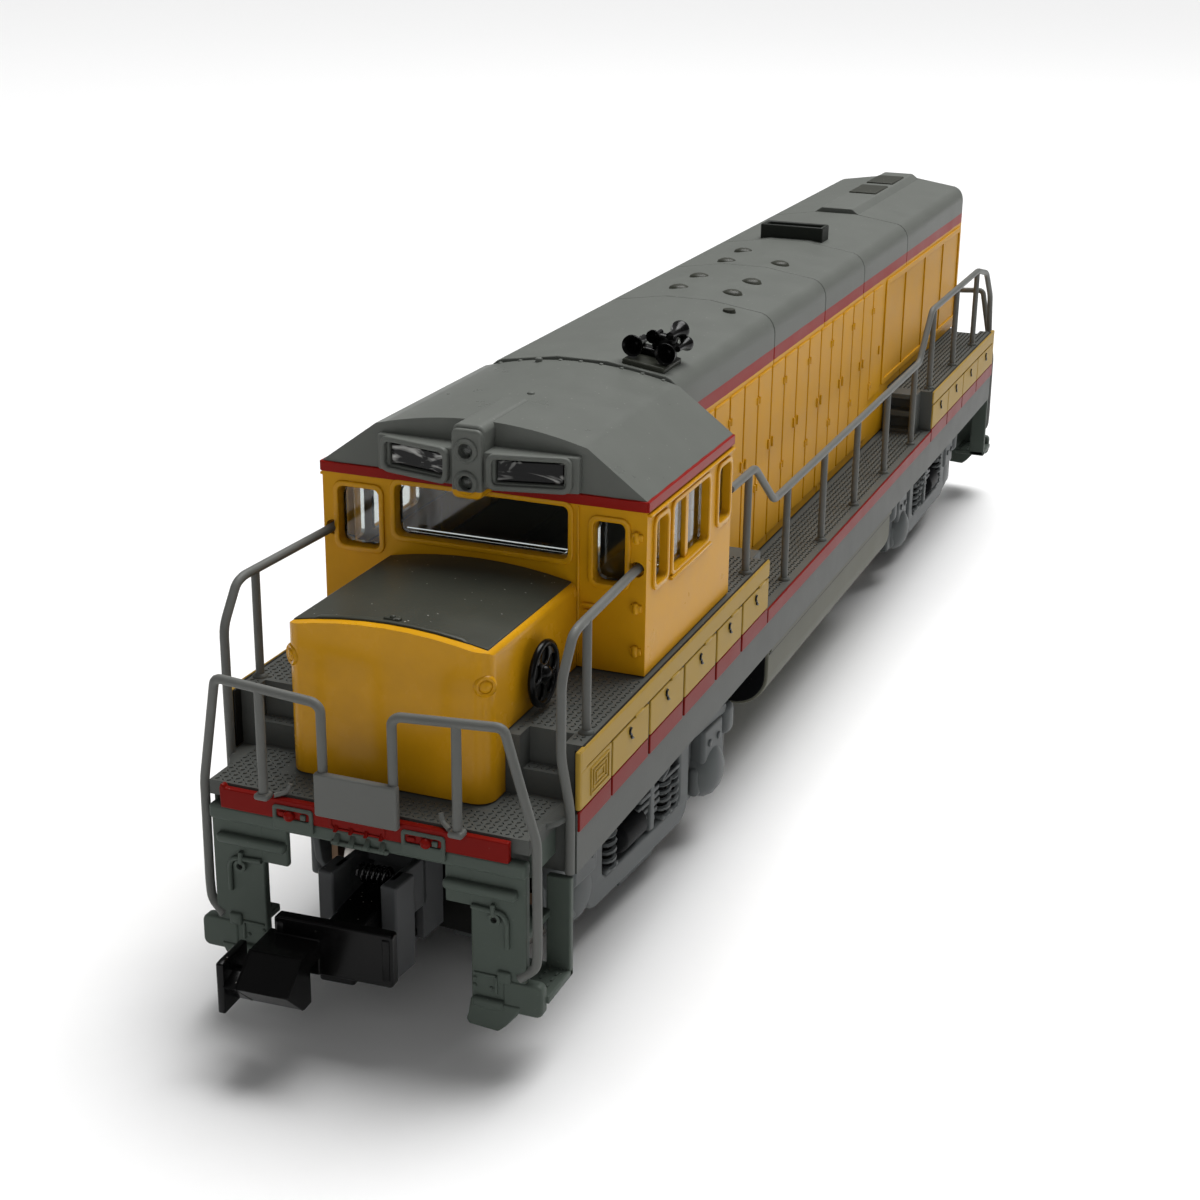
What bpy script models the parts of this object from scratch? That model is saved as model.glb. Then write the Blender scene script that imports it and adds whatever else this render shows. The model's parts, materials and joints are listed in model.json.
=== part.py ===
"""Model diesel locomotive, 1:160, four axles: a geared, all-wheel-drive body on two swivelling trucks.

Built in metres. +X is the nose, +Y the left side of the locomotive, +Z up, and z = 0 is the underside of the flanges.
Every dimension below is in millimetres.
"""

import math

import bmesh
import bpy
from mathutils import Matrix, Vector

MM = 0.001

# Overall frame
PILOT_X = 55.0  # end sheet, front and rear
SILL_Y = 10.0
SILL_BOTTOM_Z = 9.8
DECK_Z = 13.1
HIGH_DECK_Z = 16.4
FRONT_BOX_X = (19.7, 50.3)
REAR_BOX_X = (-50.3, -26.0)
PLATE = 0.8  # moulding wall thickness
GAP = 0.1  # clearance between fitted mouldings

# Long hood
HOOD_X = (-52.0, 26.45)
HORN_SPOT = (0.0, 3.7, 29.5)
HOOD_HALF = 6.2
HOOD_SHOULDER_Z = 27.9
HOOD_TOP_Z = 29.8

# Cab
CAB_X = (26.6, 40.9)
CAB_HALF = 9.6
EAVE_Z = 26.3
ROOF_BREAK = (6.2, 28.8)
ARCH_Z = 29.65

# Short hood
NOSE_X = (41.0, 52.4)
NOSE_HALF = 5.7
NOSE_SIDE_Z = 20.9
NOSE_TOP_Z = 21.9

# Trucks
TRUCK_X = 34.4
TRUCK_REST_DEG = {"front": -4.2, "rear": 0.0}
COUPLER_REST_DEG = {"front": 7.4, "rear": 0.0}  # swing in the pocket
COUPLER_PIVOT_X = 16.4  # from the truck's own pivot
AXLE_HALF = 8.9
AXLE_Z = 4.1
TREAD_R = 3.2
FLANGE_R = 4.1
WHEEL_Y = (3.75, 5.55)

# Drive
SHAFT_Z = 18.5
SHAFT_R = 0.6
MODULE = 0.4
WORM_TEETH = 20
IDLER_TEETH = 14
AXLE_TEETH = 12
WORM_GEAR_Z = 12.2
WORM_R = 1.85

RAIL_R = 0.27
RAIL_Y = 9.4


def clear_scene():
    for obj in list(bpy.data.objects):
        bpy.data.objects.remove(obj, do_unlink=True)


def collection(name, hidden=False):
    made = bpy.data.collections.new(name)
    made.hide_render = hidden
    bpy.context.scene.collection.children.link(made)
    return made


def paint(name, colour, roughness=0.5, metallic=0.0, alpha=1.0):
    made = bpy.data.materials.new(name)
    made.use_nodes = True
    shader = made.node_tree.nodes["Principled BSDF"]
    shader.inputs["Base Color"].default_value = (*colour, 1.0)
    shader.inputs["Roughness"].default_value = roughness
    shader.inputs["Metallic"].default_value = metallic
    shader.inputs["Alpha"].default_value = alpha
    return made


clear_scene()
BODY = collection("diesel_locomotive")
CUTTERS = collection("cutters", hidden=True)

YELLOW = (0.62, 0.40, 0.04)
GREY = (0.14, 0.15, 0.15)
DARK = (0.02, 0.02, 0.02)
METAL = (0.45, 0.45, 0.45)


def from_mesh(name, mesh):
    bmesh.ops.recalc_face_normals(mesh, faces=mesh.faces)
    data = bpy.data.meshes.new(name)
    mesh.to_mesh(data)
    mesh.free()
    made = bpy.data.objects.new(name, data)
    CUTTERS.objects.link(made)
    made.hide_render = True
    made.display_type = "WIRE"
    return made


def to_axes(axis, along, first, second):
    """A point from its place along the extrusion axis and its two profile coordinates."""
    order = {"x": (along, first, second), "y": (first, along, second), "z": (first, second, along)}
    return Vector(order[axis]) * MM


def prism(name, axis, outline, start, end):
    """A closed outline extruded along an axis. Outlines are (y, z), (x, z) or (x, y) points."""
    mesh = bmesh.new()
    low = [mesh.verts.new(to_axes(axis, start, *point)) for point in outline]
    high = [mesh.verts.new(to_axes(axis, end, *point)) for point in outline]
    mesh.faces.new(low)
    mesh.faces.new(high)
    count = len(outline)
    for i in range(count):
        j = (i + 1) % count
        mesh.faces.new((low[i], low[j], high[j], high[i]))
    return from_mesh(name, mesh)


def block(name, x, y, z):
    outline = [(x[0], y[0]), (x[1], y[0]), (x[1], y[1]), (x[0], y[1])]
    return prism(name, "z", outline, z[0], z[1])


def circle(centre, radius, sides, turn=0.0):
    steps = [2 * math.pi * (i + turn) / sides for i in range(sides)]
    return [(centre[0] + radius * math.cos(t), centre[1] + radius * math.sin(t)) for t in steps]


def rod(name, axis, centre, radius, start, end, sides=16):
    return prism(name, axis, circle(centre, radius, sides, 0.5), start, end)


def rounded(first, second, radius, corners=(1, 1, 1, 1), steps=3):
    """A rectangle outline with the chosen corners rounded: low-low, high-low, high-high, low-high."""
    (a0, a1), (b0, b1) = first, second
    centres = [(a0, b0, 1, 1, 180), (a1, b0, -1, 1, 270), (a1, b1, -1, -1, 0), (a0, b1, 1, -1, 90)]
    outline = []
    for keep, (a, b, da, db, start) in zip(corners, centres):
        if not keep:
            outline.append((a, b))
            continue
        for i in range(steps + 1):
            t = math.radians(start + 90 * i / steps)
            outline.append((a + (da + math.cos(t)) * radius, b + (db + math.sin(t)) * radius))
    return outline


def mirrored(outline):
    """Both halves of an outline given for y >= 0, from its lowest point to its highest."""
    return outline + [(-y, z) for y, z in reversed(outline) if y > 1e-6]


def lathe(name, axis, origin, profile, sides, turn=0.5):
    """A closed solid of revolution. The profile is (along, radius) from end to end, both ends on the axis."""
    mesh = bmesh.new()
    rings = []
    for along, radius in profile:
        if radius < 1e-6:
            points = [(0.0, 0.0)]
        else:
            points = circle((0.0, 0.0), radius, sides, turn)
        ring = []
        for a, b in points:
            spot = {
                "x": (origin[0] + along, origin[1] + a, origin[2] + b),
                "y": (origin[0] + a, origin[1] + along, origin[2] + b),
                "z": (origin[0] + a, origin[1] + b, origin[2] + along),
            }[axis]
            ring.append(mesh.verts.new(Vector(spot) * MM))
        rings.append(ring)
    for low, high in zip(rings, rings[1:]):
        for i in range(sides):
            j = (i + 1) % sides
            if len(low) == 1:
                mesh.faces.new((low[0], high[i], high[j]))
            elif len(high) == 1:
                mesh.faces.new((low[i], low[j], high[0]))
            else:
                mesh.faces.new((low[i], low[j], high[j], high[i]))
    return from_mesh(name, mesh)


def tube(name, points, radius, sides=6):
    """A round bar that follows a polyline, mitred at each bend."""
    path = [Vector(point) for point in points]
    directions = [(b - a).normalized() for a, b in zip(path, path[1:])]
    side = directions[0].cross(Vector((0, 0, 1)))
    if side.length < 0.1:
        side = directions[0].cross(Vector((1, 0, 0)))
    side.normalize()
    mesh = bmesh.new()
    rings = []
    for i, point in enumerate(path):
        before = directions[max(i - 1, 0)]
        after = directions[min(i, len(directions) - 1)]
        if i > 0:
            side = before.rotation_difference(after) @ side
        normal = (before + after).normalized()
        up = after.cross(side).normalized()
        ring = []
        for k in range(sides):
            t = 2 * math.pi * (k + 0.5) / sides
            spoke = (side * math.cos(t) + up * math.sin(t)) * radius
            reach = -spoke.dot(normal) / after.dot(normal)
            ring.append(mesh.verts.new((point + spoke + after * reach) * MM))
        rings.append(ring)
    for low, high in zip(rings, rings[1:]):
        for k in range(sides):
            m = (k + 1) % sides
            mesh.faces.new((low[k], low[m], high[m], high[k]))
    mesh.faces.new(rings[0])
    mesh.faces.new(rings[-1])
    return from_mesh(name, mesh)


def operate(obj, operation, others):
    for other in others:
        step = obj.modifiers.new(other.name, "BOOLEAN")
        step.operation = operation
        step.solver = "EXACT"
        step.object = other


def cut(obj, *others):
    operate(obj, "DIFFERENCE", others)


def join(obj, *others):
    operate(obj, "UNION", others)


def keep(obj, *others):
    operate(obj, "INTERSECT", others)


def as_node(obj, name, material):
    """Turns a working shape into a visible, named piece."""
    CUTTERS.objects.unlink(obj)
    BODY.objects.link(obj)
    obj.hide_render = False
    obj.display_type = "SOLID"
    obj.name = name
    obj.data.materials.append(material)
    return obj


def both(make):
    """Calls make(side) for the left (+1) and right (-1) side."""
    return [make(1), make(-1)]


def span(side, low, high):
    return (low, high) if side > 0 else (-high, -low)


# Body mouldings


def hood_outline(inset=0.0):
    """Half cross-section of the long hood: upright side, rounded shoulder and gently sloping roof."""
    y = HOOD_HALF - inset
    side = [(y, HOOD_SHOULDER_Z)]
    for degrees in (30, 60, 90):
        t = math.radians(degrees)
        reach = 1.3
        side.append((y - reach + reach * math.cos(t), HOOD_SHOULDER_Z + (reach + 0.1 - inset) * math.sin(t)))
    return side + [(1.6, HOOD_TOP_Z - inset)]


def make_long_hood():
    base = DECK_Z + GAP
    hood = prism("hood", "x", mirrored([(HOOD_HALF, base)] + hood_outline()), *HOOD_X)
    plan = rounded((HOOD_X[0], HOOD_X[1]), (-HOOD_HALF, HOOD_HALF), 0.7, (1, 0, 0, 1), 2)
    keep(hood, prism("hood_plan", "z", plan, 12, 32))
    crown = [(-2.5, 29.3), (2.5, 29.3), (1.3, 30.2), (-1.3, 30.2)]
    join(hood, prism("hood_crown", "x", crown, -51.6, -30.0))
    join(hood, block("stack", (-18.6, -16.6), (-2.7, 2.7), (29.0, 30.9)))
    cut(hood, block("stack_mouth", (-18.3, -16.9), (-2.4, 2.4), (30.1, 32)))
    inner = mirrored([(HOOD_HALF - PLATE, 12.0)] + hood_outline(PLATE))
    cut(hood, prism("hood_room", "x", inner, HOOD_X[0] + PLATE, HOOD_X[1] + 1))
    front = (FRONT_BOX_X[0] - GAP, 30)
    rear = (-55, REAR_BOX_X[1] + GAP)
    step = (12, HIGH_DECK_Z + GAP)
    cut(hood, block("hood_step_front", front, (-8, 8), step), block("hood_step_rear", rear, (-8, 8), step))
    for z in (26.9, 24.9):
        cut(hood, rod("rear_light_hole", "x", (0.0, z), 0.75, -53, -50, 12))
    for side in (1, -1):
        window = block("rear_board_hole", (-53, -50), span(side, 1.9, 4.9), (25.2, 26.6))
        cut(hood, window)
    cut(hood, rod("horn_hole", "z", (24.0, HORN_SPOT[1] - 0.06), 0.45, 27, 32, 8))
    return as_node(hood, "long_hood", paint("hood_yellow", YELLOW, 0.45))


def cab_outline(inset=0.0):
    y = CAB_HALF - inset
    arch = []
    for i in range(1, 5):
        part = i / 4
        arch.append((ROOF_BREAK[0] * (1 - part), ROOF_BREAK[1] + (ARCH_Z - ROOF_BREAK[1]) * (1 - (1 - part) ** 2)))
    roof = [(y, EAVE_Z), (ROOF_BREAK[0] - inset * 0.4, ROOF_BREAK[1])] + arch
    return [(a, b - (inset if i else inset * 0.4)) for i, (a, b) in enumerate(roof)]


FRONT_WINDOWS = (((-5.1, 5.15), (22.55, 25.5)), ((6.6, 8.4), (21.5, 24.95)), ((-8.6, -6.1), (21.6, 25.0)))
SIDE_WINDOWS = (((37.9, 39.7), (21.3, 24.9)), ((31.0, 36.9), (21.2, 25.0)), ((27.2, 29.2), (21.6, 24.9)))
LIGHT_Z = (28.4, 26.65)
BOARD_Y = (1.5, 5.1)
BOARD_Z = (26.75, 28.0)


def board_housing():
    """The raised housing on the front gable: two boards set in a V and a column for the lamps."""
    outline = [(40.5, -5.9), (41.3, -5.9), (42.3, -1.4), (42.3, 1.4), (41.3, 5.9), (40.5, 5.9)]
    housing = prism("board_housing", "z", outline, 26.35, 28.35)
    join(housing, prism("lamp_column", "x", rounded((-0.95, 0.95), (25.75, 29.3), 0.6, (1, 1, 1, 1), 3), 40.5, 42.7))
    join(housing, prism("lamp_fairing", "x", rounded((-0.95, 0.95), (28.0, 29.9), 0.6, (0, 0, 1, 1), 3), 36.0, 42.6))
    return housing


def make_cab():
    base = HIGH_DECK_Z + GAP
    cab = prism("cab_shell", "x", mirrored([(CAB_HALF, base)] + cab_outline()), *CAB_X)
    join(cab, board_housing())
    room = mirrored([(CAB_HALF - PLATE, 12.0)] + cab_outline(PLATE))
    cut(cab, prism("cab_room", "x", room, CAB_X[0] + PLATE, CAB_X[1] - PLATE))
    for k, (y, z) in enumerate(FRONT_WINDOWS):
        cut(cab, prism(f"front_window_{k}", "x", rounded(y, z, 0.5, steps=2), 39, 41.6))
    for k, (x, z) in enumerate(SIDE_WINDOWS):
        cut(cab, prism(f"side_window_{k}", "y", rounded(x, z, 0.35, steps=2), -11, 11))
    for z in LIGHT_Z:
        cut(cab, rod("lamp_hole", "x", (0.0, z), 0.62, 39, 44, 12))
    for side in (1, -1):
        cut(cab, block("board_hole", (39, 44), span(side, *BOARD_Y), BOARD_Z))
        cut(cab, rod("rail_socket", "x", (side * 9.05, 22.5), RAIL_R + 0.08, 39.5, 44, 8))
    cut(cab, block("drive_slot_rear", (25, 28), (-5.4, 5.4), (12, 21.8)))
    cut(cab, block("drive_slot_front", (39, 41.2), (-4.95, 4.95), (12, 20.8)))
    return as_node(cab, "cab", paint("cab_yellow", YELLOW, 0.4))


def make_cab_windows():
    """One clear moulding: a band behind the walls with a raised pane in every opening."""
    outer = CAB_HALF - PLATE - GAP
    front = CAB_X[1] - PLATE - GAP
    glass = block("glass", (27.6, front), (-outer, outer), (20.9, 25.9))
    cut(glass, block("glass_room", (20, front - 0.5), (-outer + 0.5, outer - 0.5), (20, 27)))
    for k, ((y0, y1), (z0, z1)) in enumerate(FRONT_WINDOWS):
        pane = rounded((y0 + GAP, y1 - GAP), (z0 + GAP, z1 - GAP), 0.45, steps=2)
        join(glass, prism(f"front_pane_{k}", "x", pane, front - 0.3, CAB_X[1] - 0.35))
    for k, ((x0, x1), (z0, z1)) in enumerate(SIDE_WINDOWS):
        pane = rounded((x0 + GAP, x1 - GAP), (z0 + GAP, z1 - GAP), 0.3, steps=2)
        for side in (1, -1):
            a, b = span(side, outer - 0.3, CAB_HALF - 0.35)
            join(glass, prism(f"side_pane_{k}_{side}", "y", pane, a, b))
    return as_node(glass, "cab_windows", paint("window_clear", (0.05, 0.06, 0.06), 0.08, alpha=0.35))


def make_front_lens():
    """Clear insert behind the front gable: two number boards and two lamps that come through it."""
    lens = block("lens_plate", (39.3, 39.9), (-5.2, 5.2), (26.35, 27.85))
    for k, z in enumerate(LIGHT_Z):
        join(lens, rod(f"lamp_{k}", "x", (0.0, z), 0.5, 39.5, 42.75, 12))
    for side in (1, -1):
        y = (BOARD_Y[0] + GAP, BOARD_Y[1] - GAP)
        outline = [(39.5, side * y[0]), (42.1, side * y[0]), (41.3, side * y[1]), (39.5, side * y[1])]
        join(lens, prism(f"number_board_{side}", "z", outline, BOARD_Z[0] + GAP, BOARD_Z[1] - GAP))
    join(lens, block("lamp_bridge", (39.3, 39.9), (-0.5, 0.5), (26.4, 28.4)))
    return as_node(lens, "front_light_lens", paint("lens_clear", (0.08, 0.09, 0.09), 0.1))


def make_rear_lens():
    lens = block("rear_lens_plate", (-51.1, -50.5), (-4.8, 4.8), (24.5, 27.3))
    for k, z in enumerate((26.9, 24.9)):
        join(lens, rod(f"rear_lamp_{k}", "x", (0.0, z), 0.62, -52.15, -50.7, 12))
    for side in (1, -1):
        board = block(f"rear_board_{side}", (-52.05, -50.7), span(side, 2.0, 4.8), (25.3, 26.5))
        join(lens, board)
    return as_node(lens, "rear_light_lens", paint("rear_lens_clear", (0.08, 0.09, 0.09), 0.1))


def nose_outline(inset=0.0):
    y = NOSE_HALF - inset
    arch = [(y, NOSE_SIDE_Z), (y - 0.45, NOSE_SIDE_Z + 0.45)]
    for part in (0.45, 0.75, 1.0):
        arch.append(((y - 0.45) * (1 - part), NOSE_SIDE_Z + 0.45 + (NOSE_TOP_Z - NOSE_SIDE_Z - 0.45) * part))
    return [(a, b - inset) for a, b in arch]


def make_short_hood():
    base = DECK_Z + GAP
    nose = prism("nose", "x", mirrored([(NOSE_HALF, base)] + nose_outline()), *NOSE_X)
    plan = rounded(NOSE_X, (-NOSE_HALF, NOSE_HALF), 1.0, (0, 1, 1, 0), 3)
    keep(nose, prism("nose_plan", "z", plan, 12, 24))
    room = mirrored([(NOSE_HALF - PLATE, 12.0)] + nose_outline(PLATE))
    cut(nose, prism("nose_room", "x", room, NOSE_X[0] - 1, NOSE_X[1] - PLATE))
    cut(nose, block("nose_step", (40, FRONT_BOX_X[1] + GAP), (-8, 8), (12, HIGH_DECK_Z + GAP)))
    cut(nose, rod("brake_socket", "y", (47.0, 18.5), 0.4, 4, 7, 8))
    return as_node(nose, "short_hood", paint("nose_yellow", YELLOW, 0.4))


def make_brake_wheel():
    wheel = rod("brake_rim", "y", (47.0, 18.5), 1.8, 6.1, 6.6, 24)
    for k in range(5):
        t = math.radians(90 + 72 * k)
        spot = (47.0 + 1.08 * math.cos(t), 18.5 + 1.08 * math.sin(t))
        cut(wheel, rod(f"brake_gap_{k}", "y", spot, 0.42, 5, 8, 8))
    join(wheel, rod("brake_hub", "y", (47.0, 18.5), 0.45, 6.0, 6.8, 8))
    join(wheel, rod("brake_stub", "y", (47.0, 18.5), 0.3, 5.0, 6.3, 8))
    return as_node(wheel, "brake_wheel", paint("brake_black", DARK, 0.25))


def make_walkway():
    """Sill, decks, both battery and equipment boxes and the stairs cut into their ends, as one moulding."""
    (b0, b1), (r0, r1) = FRONT_BOX_X, REAR_BOX_X
    low, top = DECK_Z, HIGH_DECK_Z
    outline = [(-51.3, SILL_BOTTOM_Z), (51.3, SILL_BOTTOM_Z), (51.3, low), (b1, low), (b1, top), (b0, top)]
    outline += [(b0, low), (r1, low), (r1, top), (r0, top), (r0, low), (-51.3, low)]
    frame = prism("sill", "y", outline, -SILL_Y, SILL_Y)
    for end in (1, -1):
        x = sorted((end * 50.5, end * 54.85))
        join(frame, block(f"platform_{end}", x, (-8.95, 8.95), (low - PLATE, low)))
    room = [(-50.5, 9), (50.5, 9), (50.5, low - PLATE), (b1 - PLATE, low - PLATE), (b1 - PLATE, top - PLATE)]
    room += [(b0 + PLATE, top - PLATE), (b0 + PLATE, low - PLATE), (r1 - PLATE, low - PLATE)]
    room += [(r1 - PLATE, top - PLATE), (r0 + PLATE, top - PLATE), (r0 + PLATE, low - PLATE), (-50.5, low - PLATE)]
    cut(frame, prism("sill_room", "y", room, -SILL_Y + PLATE, SILL_Y - PLATE))
    for end in (1, -1):
        for side in (1, -1):
            x = sorted((end * 48.2, end * (b1 - 0.1)))
            join(frame, block(f"stairs_{end}_{side}", x, span(side, 6.0, 9.3), (low - PLATE + 0.1, top - 0.1)))
            x = sorted((end * 49.05, end * 51.0))
            cut(frame, block(f"stair_top_{end}_{side}", x, span(side, 6.45, 8.9), (14.43, top + 1)))
            x = sorted((end * 49.95, end * 51.0))
            cut(frame, block(f"stair_low_{end}_{side}", x, span(side, 6.45, 8.9), (low, 15)))
    cut(frame, block("chassis_opening", (-49.0, 49.0), (-5.35, 5.35), (8, 20)))
    return as_node(frame, "walkway", paint("walkway_grey", GREY, 0.55))


def make_pilot(end):
    """End sheet: beam, two step plates with feet, treads and their rear stringers."""
    name = "front" if end > 0 else "rear"

    def across(start, stop):
        return sorted((end * start, end * stop))

    pilot = block(f"beam_{name}", across(54.95, 55.35), (-8.05, 8.05), (11.8, 13.0))
    join(pilot, block(f"strip_{name}", across(54.5, 55.2), (-8.9, 8.9), (11.1, 11.95)))
    for side in (1, -1):
        join(pilot, block(f"plate_{name}_{side}", across(54.5, 55.0), span(side, 5.85, 8.85), (3.0, 11.5)))
        join(pilot, block(f"shelf_{name}_{side}", across(54.8, 55.5), span(side, 4.5, 8.5), (9.9, 10.4)))
        join(pilot, block(f"foot_{name}_{side}", across(54.4, 55.2), span(side, 5.7, 8.0), (2.3, 3.6)))
        join(pilot, block(f"ear_{name}_{side}", across(54.4, 55.1), span(side, 8.6, 9.75), (3.6, 5.3)))
        join(pilot, block(f"tread_low_{name}_{side}", across(51.4, 54.6), span(side, 7.2, 9.9), (4.1, 4.5)))
        join(pilot, block(f"tread_high_{name}_{side}", across(51.7, 54.6), span(side, 7.2, 8.8), (7.4, 7.8)))
        join(pilot, block(f"stringer_{name}_{side}", across(51.4, 51.85), span(side, 8.55, 9.9), (4.1, 9.7)))
    return as_node(pilot, f"pilot_{name}", paint(f"pilot_{name}_grey", (0.10, 0.12, 0.11), 0.55))


def make_fuel_tank():
    outline = rounded((-9.3, 9.3), (4.8, 9.7), 2.3, (1, 1, 0, 0), 4)
    tank = prism("tank", "x", outline, -16.4, 16.4)
    inner = rounded((-8.4, 8.4), (5.7, 11.0), 1.6, (1, 1, 0, 0), 2)
    cut(tank, prism("tank_room", "x", inner, -15.5, 15.5))
    return as_node(tank, "fuel_tank", paint("tank_olive", (0.17, 0.17, 0.13), 0.6))


def make_horn():
    """Five-bell horn on a pad that follows the slope of the hood roof, to the right behind the cab."""
    horn = block("horn_pad", (23.0, 26.1), (-1.3, 1.3), (0.05, 0.35))
    join(horn, block("horn_block", (23.3, 24.5), (-1.2, 1.2), (0.3, 1.5)))
    bells = [(25.55, -1.05, 1.0, 1, 0.64, 2.0), (25.55, 1.05, 1.0, 1, 0.64, 2.0), (24.9, -0.1, 1.65, 1, 0.42, 1.4)]
    bells += [(22.4, 0.75, 1.75, -1, 0.6, 1.8), (22.6, 1.35, 1.1, -1, 0.45, 1.6)]
    for k, (x, y, z, way, mouth, reach) in enumerate(bells):
        profile = [(-reach, 0.0), (-reach, mouth * 0.5), (-reach * 0.35, mouth * 0.55), (-0.2, mouth * 0.95)]
        profile += [(0.0, mouth), (0.0, mouth * 0.7), (-reach * 0.3, 0.0)]
        profile = [(way * a, r) for a, r in profile]
        join(horn, lathe(f"horn_bell_{k}", "x", (x, y, z), profile, 8))
    join(horn, rod("horn_pin", "z", (24.0, 0.0), 0.28, -0.95, 0.2, 8))
    slope = Matrix.Rotation(-math.atan2(0.5, 3.3), 4, "X")
    place_with(horn, Matrix.Translation(Vector(HORN_SPOT) * MM) @ slope, set())
    return as_node(horn, "horn", paint("horn_black", DARK, 0.3))


# Handrails


def rail(name, path, posts, more=()):
    """A handrail bar with its posts. Each post is (x, y, z foot, z top)."""
    bar = tube(f"{name}_bar", path, RAIL_R)
    for k, (x, y, foot, top) in enumerate(posts):
        join(bar, tube(f"{name}_post_{k}", [(x, y, foot), (x, y, top)], RAIL_R * 0.95))
    join(bar, *more)
    return as_node(bar, name, paint(f"{name}_grey", GREY, 0.5))


def make_end_rail(end):
    """End handrail in one piece: two loops joined by a drop plate, with legs down to the pilot feet."""
    name = "front" if end > 0 else "rear"
    x = end * 55.45
    leg = end * 54.75
    half = [(x, 1.95, 15.0), (x, 1.95, 18.3), (x, 2.35, 18.75), (x, 7.3, 19.1), (x, 7.75, 18.75)]
    half += [(end * 55.2, 8.5, 16.9), (leg, 9.25, 13.0), (leg, 9.35, 7.2), (leg, 9.3, 6.2), (leg, 9.15, 5.75)]
    bars = [tube(f"loop_{name}_{side}", [(a, side * b, c) for a, b, c in half], RAIL_R) for side in (1, -1)]
    plate = block(f"drop_plate_{name}", sorted((end * 55.45, end * 55.85)), (-2.3, 2.3), (12.75, 15.1))
    posts = [tube(f"end_post_{name}_{side}", [(x, side * 5.4, 13.25), (x, side * 5.4, 18.95)], RAIL_R) for side in (1, -1)]
    join(plate, *bars, *posts)
    return as_node(plate, f"{name}_railing", paint(f"{name}_rail_grey", GREY, 0.5))


def make_corner_rail(side):
    name = "left" if side > 0 else "right"
    y = side * RAIL_Y
    path = [(40.5, side * 9.05, 22.5), (41.6, side * 9.05, 22.5), (49.9, y, 22.5), (50.6, y, 22.3)]
    path += [(52.0, y, 20.4), (52.0, y, 16.4), (50.85, side * 9.7, 13.6), (50.85, side * 9.7, 13.2)]
    return rail(f"corner_rail_{name}", path, [(48.7, y, 16.5, 22.5)])


SIDE_POSTS = (13.9, 5.05, -3.8, -12.65, -21.5)


def make_side_rail(side):
    name = "left" if side > 0 else "right"
    y = side * RAIL_Y
    path = [(26.2, y, 22.8), (21.4, y, 22.8), (17.0, y, 19.5), (-22.8, y, 19.5), (-26.4, y, 23.1), (-44.5, y, 23.1)]
    path += [(-48.6, y, 22.2), (-51.3, y, 19.6), (-52.1, y, 16.4), (-50.85, side * 9.7, 13.6), (-50.85, side * 9.7, 13.2)]
    posts = [(22.6, y, 16.5, 22.8), (-27.2, y, 16.5, 23.1), (-36.0, y, 16.5, 23.1), (-44.3, y, 16.5, 23.1)]
    posts += [(x, y, 13.2, 19.5) for x in SIDE_POSTS]
    return rail(f"side_rail_{name}", path, posts)


# Inside


def make_chassis(side):
    """One half of the split cast frame, cut for the motor, drive line and truck towers."""
    name = "left" if side > 0 else "right"
    outline = [(-46.5, 9.9), (46.5, 9.9), (46.5, 16.2), (42.0, 18.6), (39.8, 20.6), (26.0, 20.6), (24.5, 24.0)]
    outline += [(-46.5, 24.0)]
    half = prism(f"cast_{name}", "y", outline, side * 0.15, side * 5.2)
    a, b = span(side, 0.15, 7.9)
    join(half, block(f"cast_weight_{name}", (-15.2, 15.2), (a, b), (6.2, 11.6)))
    cut(half, block(f"motor_pocket_{name}", (-8.9, 8.9), (-4.45, 4.45), (13.5, 26)))
    cut(half, rod(f"flywheel_channel_{name}", "x", (0.0, SHAFT_Z), 4.2, -17, 17, 16))
    cut(half, rod(f"worm_channel_{name}", "x", (0.0, SHAFT_Z), 2.4, -41, 41, 12))
    for end in (1, -1):
        x = (end * TRUCK_X - 10.4, end * TRUCK_X + 10.4)
        cut(half, block(f"tower_well_{name}_{end}", x, (-4.45, 4.45), (8, 17.4)))
        spot = (end * 20.7, 22.4)
        cut(half, rod(f"screw_hole_{name}_{end}", "y", spot, 0.6, -6, 6, 8))
        a, b = span(side, 4.2, 6.0)
        cut(half, rod(f"screw_seat_{name}_{end}", "y", spot, 1.2, a, b, 10))
    cut(half, block(f"nose_relief_{name}", (39.0, 48.0), span(side, 4.75, 6.0), (8, 22)))
    return as_node(half, f"chassis_{name}", paint(f"cast_{name}_metal", METAL, 0.5, 1.0))


def make_chassis_screw(end):
    name = "front" if end > 0 else "rear"
    spot = (end * 20.7, 22.4)
    screw = rod(f"screw_{name}", "y", spot, 0.45, -5.1, 4.7, 8)
    join(screw, rod(f"screw_head_{name}", "y", spot, 1.0, 4.3, 5.1, 10))
    join(screw, rod(f"screw_nut_{name}", "y", spot, 1.0, -5.1, -4.3, 6))
    return as_node(screw, f"chassis_screw_{name}", paint(f"screw_{name}_steel", METAL, 0.3, 1.0))


def make_light_board():
    board = block("board", (-44.0, 23.0), (-4.7, 4.7), (24.15, 24.75))
    join(board, block("board_led_rear", (-44.5, -42.5), (-1.0, 1.0), (24.3, 26.2)))
    join(board, block("board_parts", (-10.0, 6.0), (-2.6, 2.6), (24.5, 26.0)))
    return as_node(board, "light_board", paint("board_green", (0.02, 0.12, 0.05), 0.5))


def make_motor():
    case = block("motor_body", (-8.4, 8.4), (-4.3, 4.3), (14.0, 23.0))
    keep(case, prism("motor_round", "x", rounded((-4.3, 4.3), (14.0, 23.0), 1.5, steps=2), -9, 9))
    cut(case, rod("motor_bore", "x", (0.0, SHAFT_Z), SHAFT_R + 0.12, -12, 12, 8))
    return as_node(case, "motor_case", paint("motor_steel", (0.3, 0.3, 0.3), 0.4, 1.0))


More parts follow.
